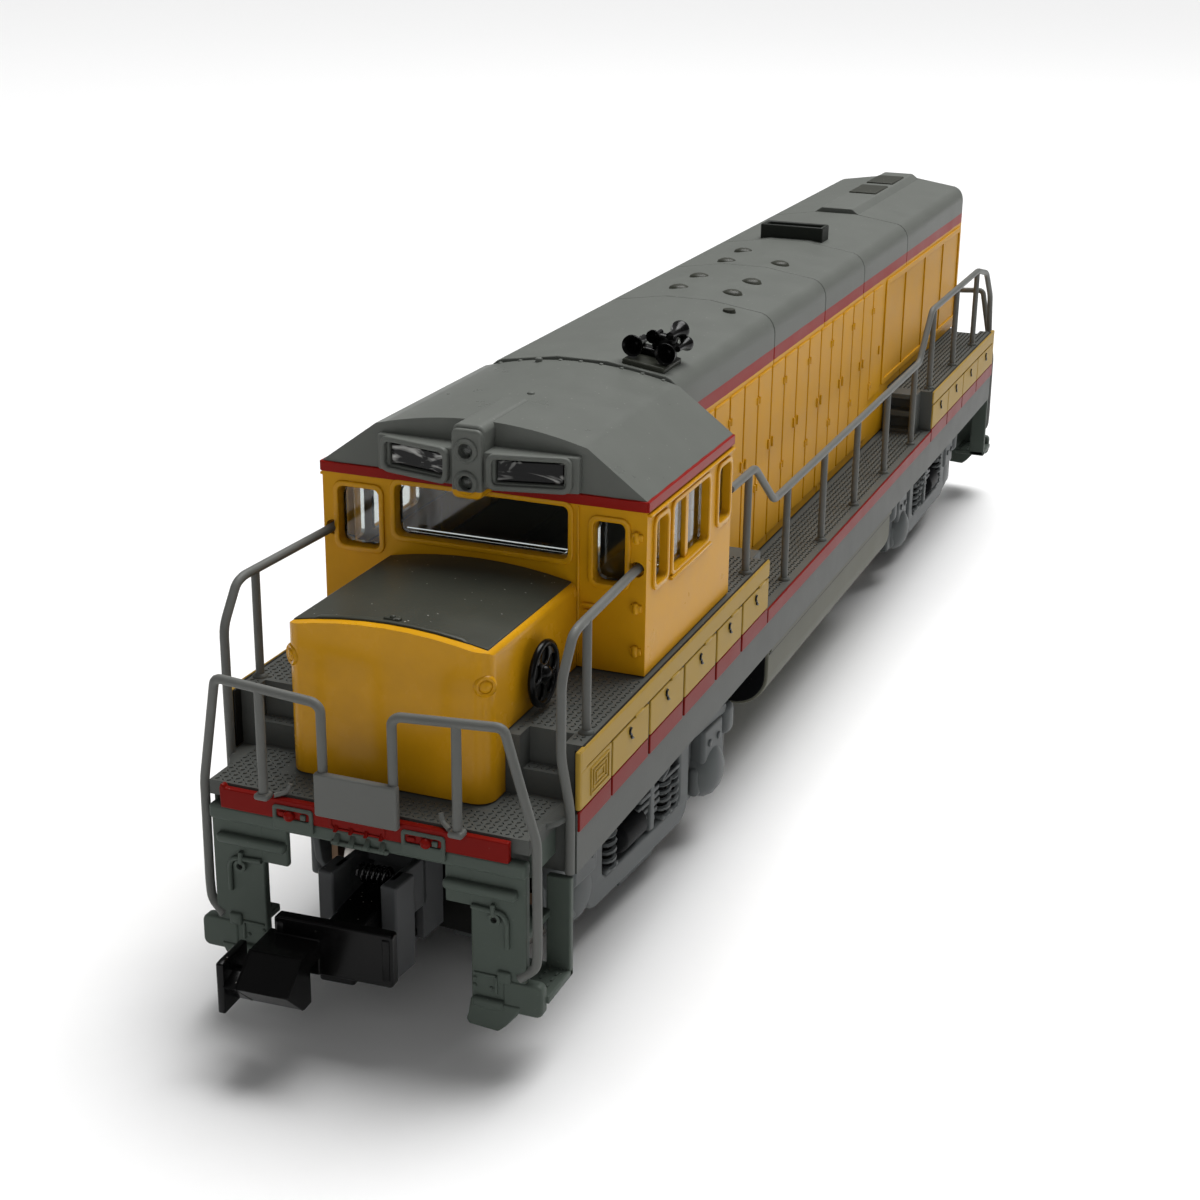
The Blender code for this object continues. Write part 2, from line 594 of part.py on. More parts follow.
def make_rotor():
    shaft = rod("shaft", "x", (0.0, SHAFT_Z), SHAFT_R, -38.6, 38.6, 8)
    as_node(shaft, "motor_shaft", paint("shaft_steel", METAL, 0.2, 1.0))
    for end in (1, -1):
        name = "front" if end > 0 else "rear"
        x = sorted((end * 10.2, end * 16.2))
        wheel = rod(f"disc_{name}", "x", (0.0, SHAFT_Z), 3.9, *x, 20)
        cut(wheel, rod(f"disc_bore_{name}", "x", (0.0, SHAFT_Z), SHAFT_R + 0.12, x[0] - 1, x[1] + 1, 8))
        as_node(wheel, f"flywheel_{name}", paint(f"brass_{name}", (0.6, 0.42, 0.12), 0.25, 1.0))
        make_worm(end, name)


def make_worm(end, name):
    """A one-start worm: a round section set off its axis and turned steadily along it."""
    pitch = math.pi * MODULE
    length, sides, per_turn = 4 * pitch, 8, 6
    mesh = bmesh.new()
    count = round(length / pitch * per_turn)
    rings = []
    for i in range(count + 1):
        along = end * TRUCK_X - length / 2 + length * i / count
        turn = 2 * math.pi * i / per_turn
        centre = (0.3 * math.cos(turn), 0.3 * math.sin(turn))
        ring = circle(centre, WORM_R - 0.3, sides, 0.5)
        rings.append([mesh.verts.new(Vector((along, y, SHAFT_Z + z)) * MM) for y, z in ring])
    for low, high in zip(rings, rings[1:]):
        for k in range(sides):
            m = (k + 1) % sides
            mesh.faces.new((low[k], low[m], high[m], high[k]))
    mesh.faces.new(rings[0])
    mesh.faces.new(rings[-1])
    worm = from_mesh(f"thread_{name}", mesh)
    cut(worm, rod(f"worm_bore_{name}", "x", (0.0, SHAFT_Z), SHAFT_R + 0.12, -45, 45, 8))
    as_node(worm, f"worm_{name}", paint(f"worm_{name}_brass", (0.6, 0.42, 0.12), 0.3, 1.0))


# Trucks. Each is built round its own pivot, with +x towards the coupler, and then placed.


def gear_outline(centre, teeth, phase):
    """Straight-sided teeth. A phase of 0 puts a tooth at angle 0, and 0.5 puts a gap there."""
    pitch_r = MODULE * teeth / 2
    outline = []
    for i in range(teeth):
        for share, radius in ((-0.23, -0.45), (-0.13, 0.34), (0.13, 0.34), (0.23, -0.45)):
            t = 2 * math.pi * (i + phase + share) / teeth
            r = pitch_r + radius
            outline.append((centre[0] + r * math.cos(t), centre[1] + r * math.sin(t)))
    return outline


def idler_spot():
    """Centre of an idler that meshes with both the worm gear and the axle gear."""
    worm_gear, axle = Vector((0.0, WORM_GEAR_Z)), Vector((AXLE_HALF, AXLE_Z))
    first = MODULE * (WORM_TEETH + IDLER_TEETH) / 2 + 0.12
    second = MODULE * (IDLER_TEETH + AXLE_TEETH) / 2 + 0.12
    line = axle - worm_gear
    along = (first**2 - second**2 + line.length**2) / (2 * line.length)
    across = math.sqrt(max(first**2 - along**2, 0.0))
    unit = line.normalized()
    return worm_gear + unit * along + Vector((unit.y, -unit.x)) * across * -1


def heading(start, stop):
    return math.atan2(stop[1] - start[1], stop[0] - start[0])


def gear(name, centre, teeth, phase, hub_radius, hub_half, bore=0.0):
    body = prism(f"{name}_teeth", "y", gear_outline(centre, teeth, phase), -1.1, 1.1)
    join(body, rod(f"{name}_hub", "y", centre, hub_radius, -hub_half, hub_half, 8))
    if bore:
        cut(body, rod(f"{name}_bore", "y", centre, bore, -9, 9, 8))
    return body


def tower_outline():
    half = [(12.3, 2.3), (12.3, 6.9), (9.8, 8.3), (6.4, 9.4), (6.4, 12.6), (4.4, 14.4)]
    return half + [(-x, z) for x, z in reversed(half)]


def make_tower(name):
    tower = prism(f"tower_{name}", "y", tower_outline(), -3.3, 3.3)
    cut(tower, block(f"gear_slot_{name}", (-11.9, 11.9), (-1.4, 1.4), (0, 20)))
    cut(tower, rod(f"worm_axle_hole_{name}", "y", (0.0, WORM_GEAR_Z), 0.85, -5, 5, 8))
    spot = idler_spot()
    for way in (1, -1):
        cut(tower, rod(f"idler_hole_{name}_{way}", "y", (way * spot.x, spot.y), 0.85, -5, 5, 8))
        cut(tower, rod(f"axle_hole_{name}_{way}", "y", (way * AXLE_HALF, AXLE_Z), 1.35, -5, 5, 10))
    return as_node(tower, f"gear_tower_{name}", paint(f"tower_{name}_plastic", DARK, 0.5))


def side_frame(name, side):
    """Cast side frame: a stepped top beam, two journal pedestals, spring nest and brake cylinders."""
    half = [(0.0, 1.9), (2.6, 1.9), (3.2, 3.1), (5.2, 3.2), (6.2, 2.7), (11.6, 2.7), (12.0, 4.4), (12.4, 6.9), (11.4, 8.2)]
    half += [(6.5, 8.4), (5.0, 9.2), (0.0, 9.4)]
    outline = half + [(-x, z) for x, z in reversed(half) if x > 0]
    a, b = span(side, 6.85, 7.75)
    frame = prism(f"frame_{name}_{side}", "y", outline, a, b)
    for way in (1, -1):
        c, d = span(side, 7.5, 8.95)
        x = sorted((way * 7.3, way * 10.5))
        join(frame, block(f"journal_{name}_{side}_{way}", x, (c, d), (2.9, 5.8)))
        c, d = span(side, 7.5, 8.6)
        join(frame, rod(f"brake_{name}_{side}_{way}", "y", (way * 4.6, 7.4), 1.05, c, d, 10))
    c, d = span(side, 7.5, 8.5)
    join(frame, block(f"springs_{name}_{side}", (-2.6, 2.6), (c, d), (3.9, 6.3)))
    return frame


def make_truck_frame(name):
    """Bottom plate that carries both side frames, and the end beam with the coupler pocket."""
    frame = block(f"keeper_{name}", (-13.4, 11.5), (-3.3, 3.3), (1.5, 2.2))
    for way in (1, -1):
        x = sorted((way * 5.8, way * 12.2))
        cut(frame, block(f"keeper_slot_{name}_{way}", x, (-1.4, 1.4), (1, 3)))
    for side in (1, -1):
        join(frame, side_frame(name, side))
        a, b = span(side, 3.0, 7.2)
        join(frame, block(f"arm_{name}_{side}", (-2.4, 2.4), (a, b), (1.5, 2.2)))
    join(frame, block(f"end_beam_{name}", (11.7, 13.8), (-7.2, 7.2), (7.45, 8.2)))
    join(frame, block(f"pocket_root_{name}", (13.5, 15.6), (-1.9, 1.9), (3.4, 8.2)))
    join(frame, block(f"pocket_floor_{name}", (13.5, 18.2), (-1.2, 1.2), (2.9, 3.5)))
    for side in (1, -1):
        join(frame, block(f"pocket_wall_{name}_{side}", (15.2, 18.4), span(side, 1.45, 1.9), (5.4, 8.2)))
        join(frame, block(f"pocket_post_{name}_{side}", (18.2, 19.1), span(side, 1.45, 2.35), (2.9, 8.2)))
    cut(frame, block(f"pocket_pin_{name}", (15.0, 16.9), (-1.45, 1.45), (3.5, 7.4)))
    return as_node(frame, f"truck_frame_{name}", paint(f"truck_{name}_grey", GREY, 0.5))


def side_label(name, side):
    """The rear truck is turned round, so its sides swap."""
    return "left" if (side > 0) == (name == "front") else "right"


def make_contact_strip(name, side):
    """Pick-up strip beside the wheels: the axle ends turn in its two holes and its tab rises to the chassis."""
    outline = [(-11.6, 3.0), (11.6, 3.0), (11.6, 5.3), (2.2, 5.7), (1.6, 11.9), (-1.6, 11.9), (-2.2, 5.7), (-11.6, 5.3)]
    a, b = span(side, 6.05, 6.45)
    strip = prism(f"strip_{name}_{side}", "y", outline, a, b)
    for way in (1, -1):
        cut(strip, rod(f"cup_{name}_{side}_{way}", "y", (way * AXLE_HALF, AXLE_Z), 0.65, -9, 9, 8))
    label = side_label(name, side)
    return as_node(strip, f"contact_{name}_{label}", paint(f"contact_{name}_{label}_bronze", (0.5, 0.35, 0.2), 0.3, 1.0))


def make_gears(name):
    spot = idler_spot()
    top = (0.0, WORM_GEAR_Z)
    made = []
    down = heading(top, spot)
    worm_phase = down * WORM_TEETH / (2 * math.pi)
    body = gear(f"worm_gear_{name}", top, WORM_TEETH, worm_phase, 0.7, 3.2)
    made.append(as_node(body, f"worm_gear_{name}", paint(f"worm_gear_{name}_nylon", (0.7, 0.7, 0.65), 0.4)))
    for k, way in enumerate((1, -1)):
        centre = (way * spot.x, spot.y)
        axle = (way * AXLE_HALF, AXLE_Z)
        up = heading(centre, top) * IDLER_TEETH / (2 * math.pi)
        top_share = heading(top, centre) * WORM_TEETH / (2 * math.pi) - worm_phase
        phase = up + 0.5 + top_share
        idler = gear(f"idler_{name}_{k}", centre, IDLER_TEETH, phase, 0.7, 3.2)
        made.append(as_node(idler, f"idler_gear_{name}_{k + 1}", paint(f"idler_{name}_{k}_nylon", (0.7, 0.7, 0.65), 0.4)))
        idler_share = heading(centre, axle) * IDLER_TEETH / (2 * math.pi) - phase
        axle_phase = heading(axle, centre) * AXLE_TEETH / (2 * math.pi) + 0.5 + idler_share
        axle_gear = gear(f"axle_{name}_{k}", axle, AXLE_TEETH, axle_phase, 1.15, 3.55, bore=0.8)
        made.append(as_node(axle_gear, f"axle_gear_{name}_{k + 1}", paint(f"axle_{name}_{k}_nylon", DARK, 0.4)))
    return made


def make_wheel(name, k, way, side):
    """Wheel with flange, a stub that goes into the axle gear and a point that turns in the contact strip."""
    inner, outer = WHEEL_Y
    profile = [(2.2, 0.0), (2.2, 0.68), (inner, 0.68), (inner, FLANGE_R), (inner + 0.25, FLANGE_R)]
    profile += [(inner + 0.6, TREAD_R), (outer, TREAD_R - 0.1), (outer, 0.5), (6.3, 0.45), (6.3, 0.0)]
    profile = [(side * a, r) for a, r in profile]
    wheel = lathe(f"wheel_{name}_{k}_{side}", "y", (way * AXLE_HALF, 0.0, AXLE_Z), profile, 20, 0.0)
    label = side_label(name, side)
    return as_node(wheel, f"wheel_{name}_{k + 1}_{label}", paint(f"wheel_{name}_{k}_{label}_nickel", METAL, 0.3, 1.0))


def make_coupler(name):
    """Hook coupler: shank, cross plate and an offset arm that ends in a wedge with an outer fin."""
    coupler = block(f"shank_{name}", (15.9, 22.4), (-0.98, 0.98), (4.0, 6.9))
    join(coupler, block(f"cross_plate_{name}", (22.0, 22.7), (-3.25, 3.25), (4.5, 7.45)))
    join(coupler, block(f"arm_root_{name}", (22.2, 22.85), (-3.25, -0.7), (4.5, 7.45)))
    profile = [(22.3, 5.5), (23.85, 5.5), (23.85, 3.6), (24.7, 3.6), (26.4, 5.2), (24.7, 6.5), (22.3, 6.5)]
    join(coupler, prism(f"hook_{name}", "y", profile, -3.65, -0.7))
    bridge = [(23.85, 3.6), (24.7, 3.6), (26.2, 5.01), (25.3, 5.6), (23.85, 5.0)]
    join(coupler, prism(f"hook_bridge_{name}", "y", bridge, -4.35, -3.6))
    join(coupler, block(f"hook_fin_{name}", (23.7, 26.3), (-4.65, -4.25), (3.6, 6.4)))
    return as_node(coupler, f"coupler_{name}", paint(f"coupler_{name}_black", DARK, 0.35))


def make_spring(name):
    points = []
    for i in range(25):
        t = 2 * math.pi * i / 8
        points.append((17.4 + 0.45 * math.cos(t), -0.95 + 1.9 * i / 24, 7.75 + 0.45 * math.sin(t)))
    spring = tube(f"spring_{name}", points, 0.13, 5)
    return as_node(spring, f"coupler_spring_{name}", paint(f"spring_{name}_steel", METAL, 0.25, 1.0))


def make_truck(name):
    made = [make_tower(name), make_truck_frame(name), make_coupler(name), make_spring(name)]
    made += both(lambda side: make_contact_strip(name, side))
    made += make_gears(name)
    for k, way in enumerate((1, -1)):
        made += both(lambda side, k=k, way=way: make_wheel(name, k, way, side))
    turn = Matrix.Rotation(math.radians(TRUCK_REST_DEG[name]), 4, "Z")
    if name == "rear":
        turn = Matrix.Rotation(math.pi, 4, "Z") @ turn
    spot = TRUCK_X if name == "front" else -TRUCK_X
    place = Matrix.Translation(Vector((spot, 0.0, 0.0)) * MM) @ turn
    pivot = Matrix.Translation(Vector((COUPLER_PIVOT_X, 0.0, 0.0)) * MM)
    swing = pivot @ Matrix.Rotation(math.radians(COUPLER_REST_DEG[name]), 4, "Z") @ pivot.inverted()
    moved = set()
    for obj in made:
        swung = obj.name.startswith("coupler")
        for shape in [obj] + [step.object for step in obj.modifiers]:
            place_with(shape, place @ swing if swung else place, moved)


def place_with(shape, place, moved):
    """Moves a shape and the shapes its own steps use, once each."""
    if shape.name in moved:
        return
    moved.add(shape.name)
    shape.matrix_world = place
    for step in shape.modifiers:
        place_with(step.object, place, moved)


def set_origin(name, spot):
    """Puts a piece's origin at a point of its joint axis, in its own frame, without moving the piece."""
    obj = bpy.data.objects[name]
    offset = Vector(spot) * MM
    obj.data.transform(Matrix.Translation(-offset))
    obj.matrix_world = obj.matrix_world @ Matrix.Translation(offset)


def set_joint_origins():
    for name in ("front", "rear"):
        set_origin(f"worm_gear_{name}", (0.0, 0.0, WORM_GEAR_Z))
        spot = idler_spot()
        for k, way in enumerate((1, -1)):
            set_origin(f"idler_gear_{name}_{k + 1}", (way * spot.x, 0.0, spot.y))
            set_origin(f"axle_gear_{name}_{k + 1}", (way * AXLE_HALF, 0.0, AXLE_Z))
            for label in ("left", "right"):
                set_origin(f"wheel_{name}_{k + 1}_{label}", (way * AXLE_HALF, 0.0, AXLE_Z))
        for node in (f"coupler_{name}", f"coupler_spring_{name}"):
            set_origin(node, (COUPLER_PIVOT_X, 0.0, 5.45))


make_long_hood()
make_cab()
make_cab_windows()
make_front_lens()
make_rear_lens()
make_short_hood()
make_brake_wheel()
make_walkway()
make_pilot(1)
make_pilot(-1)
make_fuel_tank()
make_horn()
make_end_rail(1)
make_end_rail(-1)
both(make_corner_rail)
both(make_side_rail)
both(make_chassis)
make_chassis_screw(1)
make_chassis_screw(-1)
make_light_board()
make_motor()
make_rotor()
make_truck("front")
make_truck("rear")
set_joint_origins()
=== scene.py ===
import json
import math

import bmesh
import bpy
from mathutils import Matrix, Vector

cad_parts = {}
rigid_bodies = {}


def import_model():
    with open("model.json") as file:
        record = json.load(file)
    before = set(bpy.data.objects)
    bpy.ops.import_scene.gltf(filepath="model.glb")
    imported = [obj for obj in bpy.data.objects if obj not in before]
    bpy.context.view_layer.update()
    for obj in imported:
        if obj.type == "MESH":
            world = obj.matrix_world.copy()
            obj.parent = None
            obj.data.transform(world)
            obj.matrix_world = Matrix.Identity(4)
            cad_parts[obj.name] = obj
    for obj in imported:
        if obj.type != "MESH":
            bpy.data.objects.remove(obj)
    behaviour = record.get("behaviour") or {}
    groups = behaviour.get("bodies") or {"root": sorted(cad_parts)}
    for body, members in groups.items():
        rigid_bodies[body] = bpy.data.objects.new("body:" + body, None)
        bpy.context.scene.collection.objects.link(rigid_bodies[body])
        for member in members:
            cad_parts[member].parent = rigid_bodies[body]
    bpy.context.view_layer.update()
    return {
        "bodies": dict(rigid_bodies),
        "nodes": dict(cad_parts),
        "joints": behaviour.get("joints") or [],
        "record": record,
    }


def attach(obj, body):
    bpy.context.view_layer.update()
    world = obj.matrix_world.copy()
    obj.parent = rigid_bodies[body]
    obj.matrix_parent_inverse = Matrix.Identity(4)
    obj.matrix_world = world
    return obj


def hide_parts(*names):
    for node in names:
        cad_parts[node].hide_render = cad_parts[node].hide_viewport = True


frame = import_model()

MM = 0.001
SIDES = (1, -1)  # left and right, or front and rear
ENDS = ("front", "rear")
EDGE_ANGLE = 35  # degrees: edges sharper than this are rounded
CREASE_ANGLE = 50  # degrees: edges sharper than this are shaded as sharp
BEND_STEPS = 4
COLLAR = 0.1  # how far a dome's collar reaches back


# Places shared by several pieces, in millimetres: +x is the nose, +y the engine's left, z is up from the
# underside of the wheels' flanges
DECK_Z = 13.1
HIGH_DECK_Z = 16.4
SILL_Y = 10.0
FRONT_BOX = (19.7, 50.3)
REAR_BOX = (-50.3, -26.0)
CAB_X = (26.6, 40.9)
CAB_HALF = 9.6
EAVE_Z = 26.3
HOOD_HALF = 6.2
HOOD_X = (-52.0, 26.45)
NOSE_X = (41.02, 52.4)
NOSE_HALF = 5.7
TRUCK_X = 34.4
AXLE_HALF = 8.9
AXLE_Z = 4.1
TRUCK_TURN = {"front": math.radians(-4.2), "rear": math.pi}


# ---------------------------------------------------------------- shapes, each a bmesh in millimetres


def axes_matrix(axis):
    """Turns local X, Y, Z into (first, second, along) for an extrusion along the axis."""
    columns = {
        "x": ((0, 1, 0), (0, 0, 1), (1, 0, 0)),
        "y": ((1, 0, 0), (0, 0, 1), (0, 1, 0)),
        "z": ((1, 0, 0), (0, 1, 0), (0, 0, 1)),
    }[axis]
    return Matrix(columns).transposed().to_4x4()


def closed(bm):
    """Joins a shape's loose edges and turns its faces outwards."""
    bmesh.ops.remove_doubles(bm, verts=bm.verts, dist=1e-4)
    bmesh.ops.recalc_face_normals(bm, faces=bm.faces)
    return bm


def soften(bm, size, segments=2, angle=EDGE_ANGLE):
    """Rounds the edges that are sharper than the angle."""
    if size > 0:
        limit = math.radians(angle)
        edges = [e for e in bm.edges if len(e.link_faces) == 2 and e.calc_face_angle(0) > limit]
        shape = {"profile": 0.5, "affect": "EDGES", "clamp_overlap": True}
        bmesh.ops.bevel(bm, geom=edges, offset=size, segments=segments, **shape)
    return bm


def prism(axis, outline, start, end, bevel=0.1, segments=2):
    """A solid with the same outline all along the axis."""
    bm = bmesh.new()
    low = [bm.verts.new((a, b, start)) for a, b in outline]
    high = [bm.verts.new((a, b, end)) for a, b in outline]
    bm.faces.new(low)
    bm.faces.new(high)
    for i in range(len(outline)):
        j = (i + 1) % len(outline)
        bm.faces.new((low[i], low[j], high[j], high[i]))
    bm.transform(axes_matrix(axis))
    bmesh.ops.recalc_face_normals(bm, faces=bm.faces)
    return soften(bm, bevel, segments)


def rectangle(first, second):
    (a0, a1), (b0, b1) = first, second
    return [(a0, b0), (a1, b0), (a1, b1), (a0, b1)]


def box(x, y, z, bevel=0.1, segments=2):
    return prism("z", rectangle(x, y), z[0], z[1], bevel, segments)


def circle(centre, radius, sides):
    steps = [2 * math.pi * i / sides for i in range(sides)]
    return [(centre[0] + radius * math.cos(t), centre[1] + radius * math.sin(t)) for t in steps]


def rounded(first, second, radius, corners=(1, 1, 1, 1), steps=5):
    """A rectangle with the chosen corners rounded: low-low, high-low, high-high, low-high."""
    (a0, a1), (b0, b1) = first, second
    centres = [(a0, b0, 1, 1, 180), (a1, b0, -1, 1, 270), (a1, b1, -1, -1, 0), (a0, b1, 1, -1, 90)]
    outline = []
    for keep, (a, b, da, db, start) in zip(corners, centres):
        if not keep:
            outline.append((a, b))
            continue
        for i in range(steps + 1):
            t = math.radians(start + 90 * i / steps)
            outline.append((a + (da + math.cos(t)) * radius, b + (db + math.sin(t)) * radius))
    return outline


def mirrored(outline):
    """A half outline and its mirror image."""
    return outline + [(-y, z) for y, z in reversed(outline) if y > 1e-6]


def plate(axis, face, thick, loops, bevel=0.06, rounds=1):
    """A flat plate with holes, from face to face + thick along the axis."""
    curve = bpy.data.curves.new("plate", "CURVE")
    curve.dimensions = "2D"
    curve.fill_mode = "BOTH"
    curve.extrude = abs(thick) / 2 - bevel
    curve.bevel_depth = bevel
    curve.bevel_resolution = rounds
    curve.offset = -bevel
    for loop in loops:
        spline = curve.splines.new("POLY")
        spline.points.add(len(loop) - 1)
        spline.use_cyclic_u = True
        for point, (a, b) in zip(spline.points, loop):
            point.co = (a, b, 0, 1)
    holder = bpy.data.objects.new("plate", curve)
    bpy.context.scene.collection.objects.link(holder)
    graph = bpy.context.evaluated_depsgraph_get()
    mesh = bpy.data.meshes.new_from_object(holder.evaluated_get(graph))
    bm = bmesh.new()
    bm.from_mesh(mesh)
    bpy.data.objects.remove(holder)
    bpy.data.curves.remove(curve)
    bpy.data.meshes.remove(mesh)
    bm.transform(axes_matrix(axis) @ Matrix.Translation((0, 0, face + thick / 2)))
    return closed(bm)


def lathe(axis, origin, profile, sides=32):
    """A closed solid of revolution from (along, radius) points, both ends on the axis."""
    bm = bmesh.new()
    rings = []
    for along, radius in profile:
        spots = [(0.0, 0.0)] if radius < 1e-6 else circle((0, 0), radius, sides)
        rings.append([bm.verts.new((a, b, along)) for a, b in spots])
    for low, high in zip(rings, rings[1:]):
        for i in range(sides):
            j = (i + 1) % sides
            if len(low) == 1:
                bm.faces.new((low[0], high[i], high[j]))
            elif len(high) == 1:
                bm.faces.new((low[i], low[j], high[0]))
            else:
                bm.faces.new((low[i], low[j], high[j], high[i]))
    bm.transform(Matrix.Translation(origin) @ axes_matrix(axis))
    bmesh.ops.recalc_face_normals(bm, faces=bm.faces)
    return bm


def rod(axis, centre, radius, start, end, sides=20, bevel=0.06):
    """A round bar with softened ends. Centre is its two coordinates across the axis."""
    profile = [(start, 0), (start, radius), (end, radius), (end, 0)]
    if bevel > 0:
        profile[1:3] = [
            (start, radius - bevel), (start + bevel, radius), (end - bevel, radius), (end, radius - bevel)
        ]
    a, b = centre
    origin = {"x": (0, a, b), "y": (a, 0, b), "z": (a, b, 0)}[axis]
    return lathe(axis, origin, profile, sides)


def bent(points, radius):
    """Replaces each corner of a path by an arc."""
    path = [Vector(p) for p in points]
    out = [path[0]]
    for before, corner, after in zip(path, path[1:], path[2:]):
        reach = min(radius, (corner - before).length * 0.45, (after - corner).length * 0.45)
        a = corner + (before - corner).normalized() * reach
        b = corner + (after - corner).normalized() * reach
        for i in range(BEND_STEPS + 1):
            t = i / BEND_STEPS
            out.append(a.lerp(corner, t).lerp(corner.lerp(b, t), t))
    return out + [path[-1]]


def tube(points, radius, bend=0.5, sides=12):
    """A round wire along a path whose corners are bent."""
    path = bent(points, bend) if bend > 0 else [Vector(p) for p in points]
    ways = [(b - a).normalized() for a, b in zip(path, path[1:])]
    side = ways[0].cross(Vector((0, 0, 1)))
    if side.length < 0.1:
        side = ways[0].cross(Vector((1, 0, 0)))
    side.normalize()
    bm = bmesh.new()
    rings = []
    for i, point in enumerate(path):
        before, after = ways[max(i - 1, 0)], ways[min(i, len(ways) - 1)]
        if i > 0:
            side = before.rotation_difference(after) @ side
        normal = (before + after).normalized()
        up = after.cross(side).normalized()
        ring = []
        for k in range(sides):
            t = 2 * math.pi * k / sides
            spoke = (side * math.cos(t) + up * math.sin(t)) * radius
            ring.append(bm.verts.new(point + spoke - after * (spoke.dot(normal) / after.dot(normal))))
        rings.append(ring)
    for low, high in zip(rings, rings[1:]):
        for k in range(sides):
            m = (k + 1) % sides
            bm.faces.new((low[k], low[m], high[m], high[k]))
    bm.faces.new(rings[0])
    bm.faces.new(rings[-1])
    bmesh.ops.recalc_face_normals(bm, faces=bm.faces)
    return bm


def coil(centre, radius, wire, low, high, turns):
    """An upright coil spring."""
    steps = turns * 12
    points = []
    for i in range(steps + 1):
        t = 2 * math.pi * i / 12
        points.append(
            (
                centre[0] + radius * math.cos(t), centre[1] + radius * math.sin(t),
                low + (high - low) * i / steps,
            ),
        )
    return tube(points, wire, 0, 6)


def dome(axis, origin, radius, height, sides=20):
    """A button: a short collar with a round top. A negative height points it the other way."""
    sign = 1 if height > 0 else -1
    profile = [(-sign * COLLAR, 0), (-sign * COLLAR, radius)]
    for i in range(6):
        t = math.pi / 2 * i / 6
        profile.append((height * math.sin(t), radius * math.cos(t)))
    return lathe(axis, origin, profile + [(height, 0)], sides)


def carve(bm, *cutters):
    """Cuts shapes out of a shape."""
    made = []
    for shape in (bm, *cutters):
        mesh = bpy.data.meshes.new("carve")
        shape.to_mesh(mesh)
        shape.free()
        holder = bpy.data.objects.new("carve", mesh)
        bpy.context.scene.collection.objects.link(holder)
        made.append(holder)
    for cutter in made[1:]:
        step = made[0].modifiers.new("cut", "BOOLEAN")
        step.operation = "DIFFERENCE"
        step.solver = "EXACT"
        step.object = cutter
    graph = bpy.context.evaluated_depsgraph_get()
    mesh = bpy.data.meshes.new_from_object(made[0].evaluated_get(graph))
    out = bmesh.new()
    out.from_mesh(mesh)
    bpy.data.meshes.remove(mesh)
    for holder in made:
        data = holder.data
        bpy.data.objects.remove(holder)
        bpy.data.meshes.remove(data)
    bmesh.ops.dissolve_limit(out, angle_limit=0.01, verts=out.verts, edges=out.edges)
    return out


class Piece:
    """One visible object, gathered from closed shapes that each have a material."""

    def __init__(self, name, body, *replaced, slot=None):
        self.name, self.body, self.replaced, self.slot = name, body, replaced, slot
        self.bm = bmesh.new()
        self.materials = []

    def add(self, material, *shapes, matrix=None):
        if material not in self.materials:
            self.materials.append(material)
        index = self.materials.index(material)
        for bm in shapes:
            if matrix is not None:
                bm.transform(matrix)
                if matrix.determinant() < 0:
                    bmesh.ops.reverse_faces(bm, faces=bm.faces)
            for face in bm.faces:
                face.material_index = index
            mesh = bpy.data.meshes.new("shape")
            bm.to_mesh(mesh)
            bm.free()
            self.bm.from_mesh(mesh)
            bpy.data.meshes.remove(mesh)

    def finish(self, matrix=None):
        if matrix is not None:
            self.bm.transform(matrix)
        limit = math.radians(CREASE_ANGLE)
        for face in self.bm.faces:
            face.smooth = True
        for edge in self.bm.edges:
            edge.smooth = edge.calc_face_angle(0) < limit
        self.bm.transform(Matrix.Scale(MM, 4))
        mesh = bpy.data.meshes.new(self.name)
        self.bm.to_mesh(mesh)
        self.bm.free()
        for material in self.materials:
            mesh.materials.append(material)
        obj = bpy.data.objects.new(self.name, mesh)
        bpy.context.scene.collection.objects.link(obj)
        weigh = obj.modifiers.new("weigh", "WEIGHTED_NORMAL")
        weigh.keep_sharp = True
        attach(obj, self.body)
        if self.replaced:
            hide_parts(*self.replaced)


def span(side, low, high):
    """The run from low to high, on the left (side +1) or the right (-1)."""
    return (low, high) if side > 0 else (-high, -low)


def across(end, start, stop):
    """The run from start to stop, at the front (end +1) or the rear (-1)."""
    return tuple(sorted((end * start, end * stop)))


# ---------------------------------------------------------------- materials


class Nodes:
    """Short ways to build a node tree."""

    def __init__(self, tree):
        self.tree = tree

    def node(self, kind, **values):
        made = self.tree.nodes.new(kind)
        for key, value in values.items():
            made.inputs[key].default_value = value
        return made

    def link(self, source, target):
        self.tree.links.new(source, target)

    def math(self, operation, first, second=None, third=None):
        made = self.tree.nodes.new("ShaderNodeMath")
        made.operation = operation
        for socket, value in zip(made.inputs, (first, second, third)):
            if value is None:
                continue
            if isinstance(value, (int, float)):
                socket.default_value = value
            else:
                self.link(value, socket)
        return made.outputs[0]

    def mix(self, factor, first, second, blend="MIX"):
        made = self.tree.nodes.new("ShaderNodeMix")
        made.data_type = "RGBA"
        made.blend_type = blend
        for socket, value in ((made.inputs[0], factor), (made.inputs[6], first), (made.inputs[7], second)):
            if isinstance(value, (int, float)):
                socket.default_value = value
            elif isinstance(value, tuple):
                socket.default_value = (*value, 1.0)
            else:
                self.link(value, socket)
        return made.outputs[2]


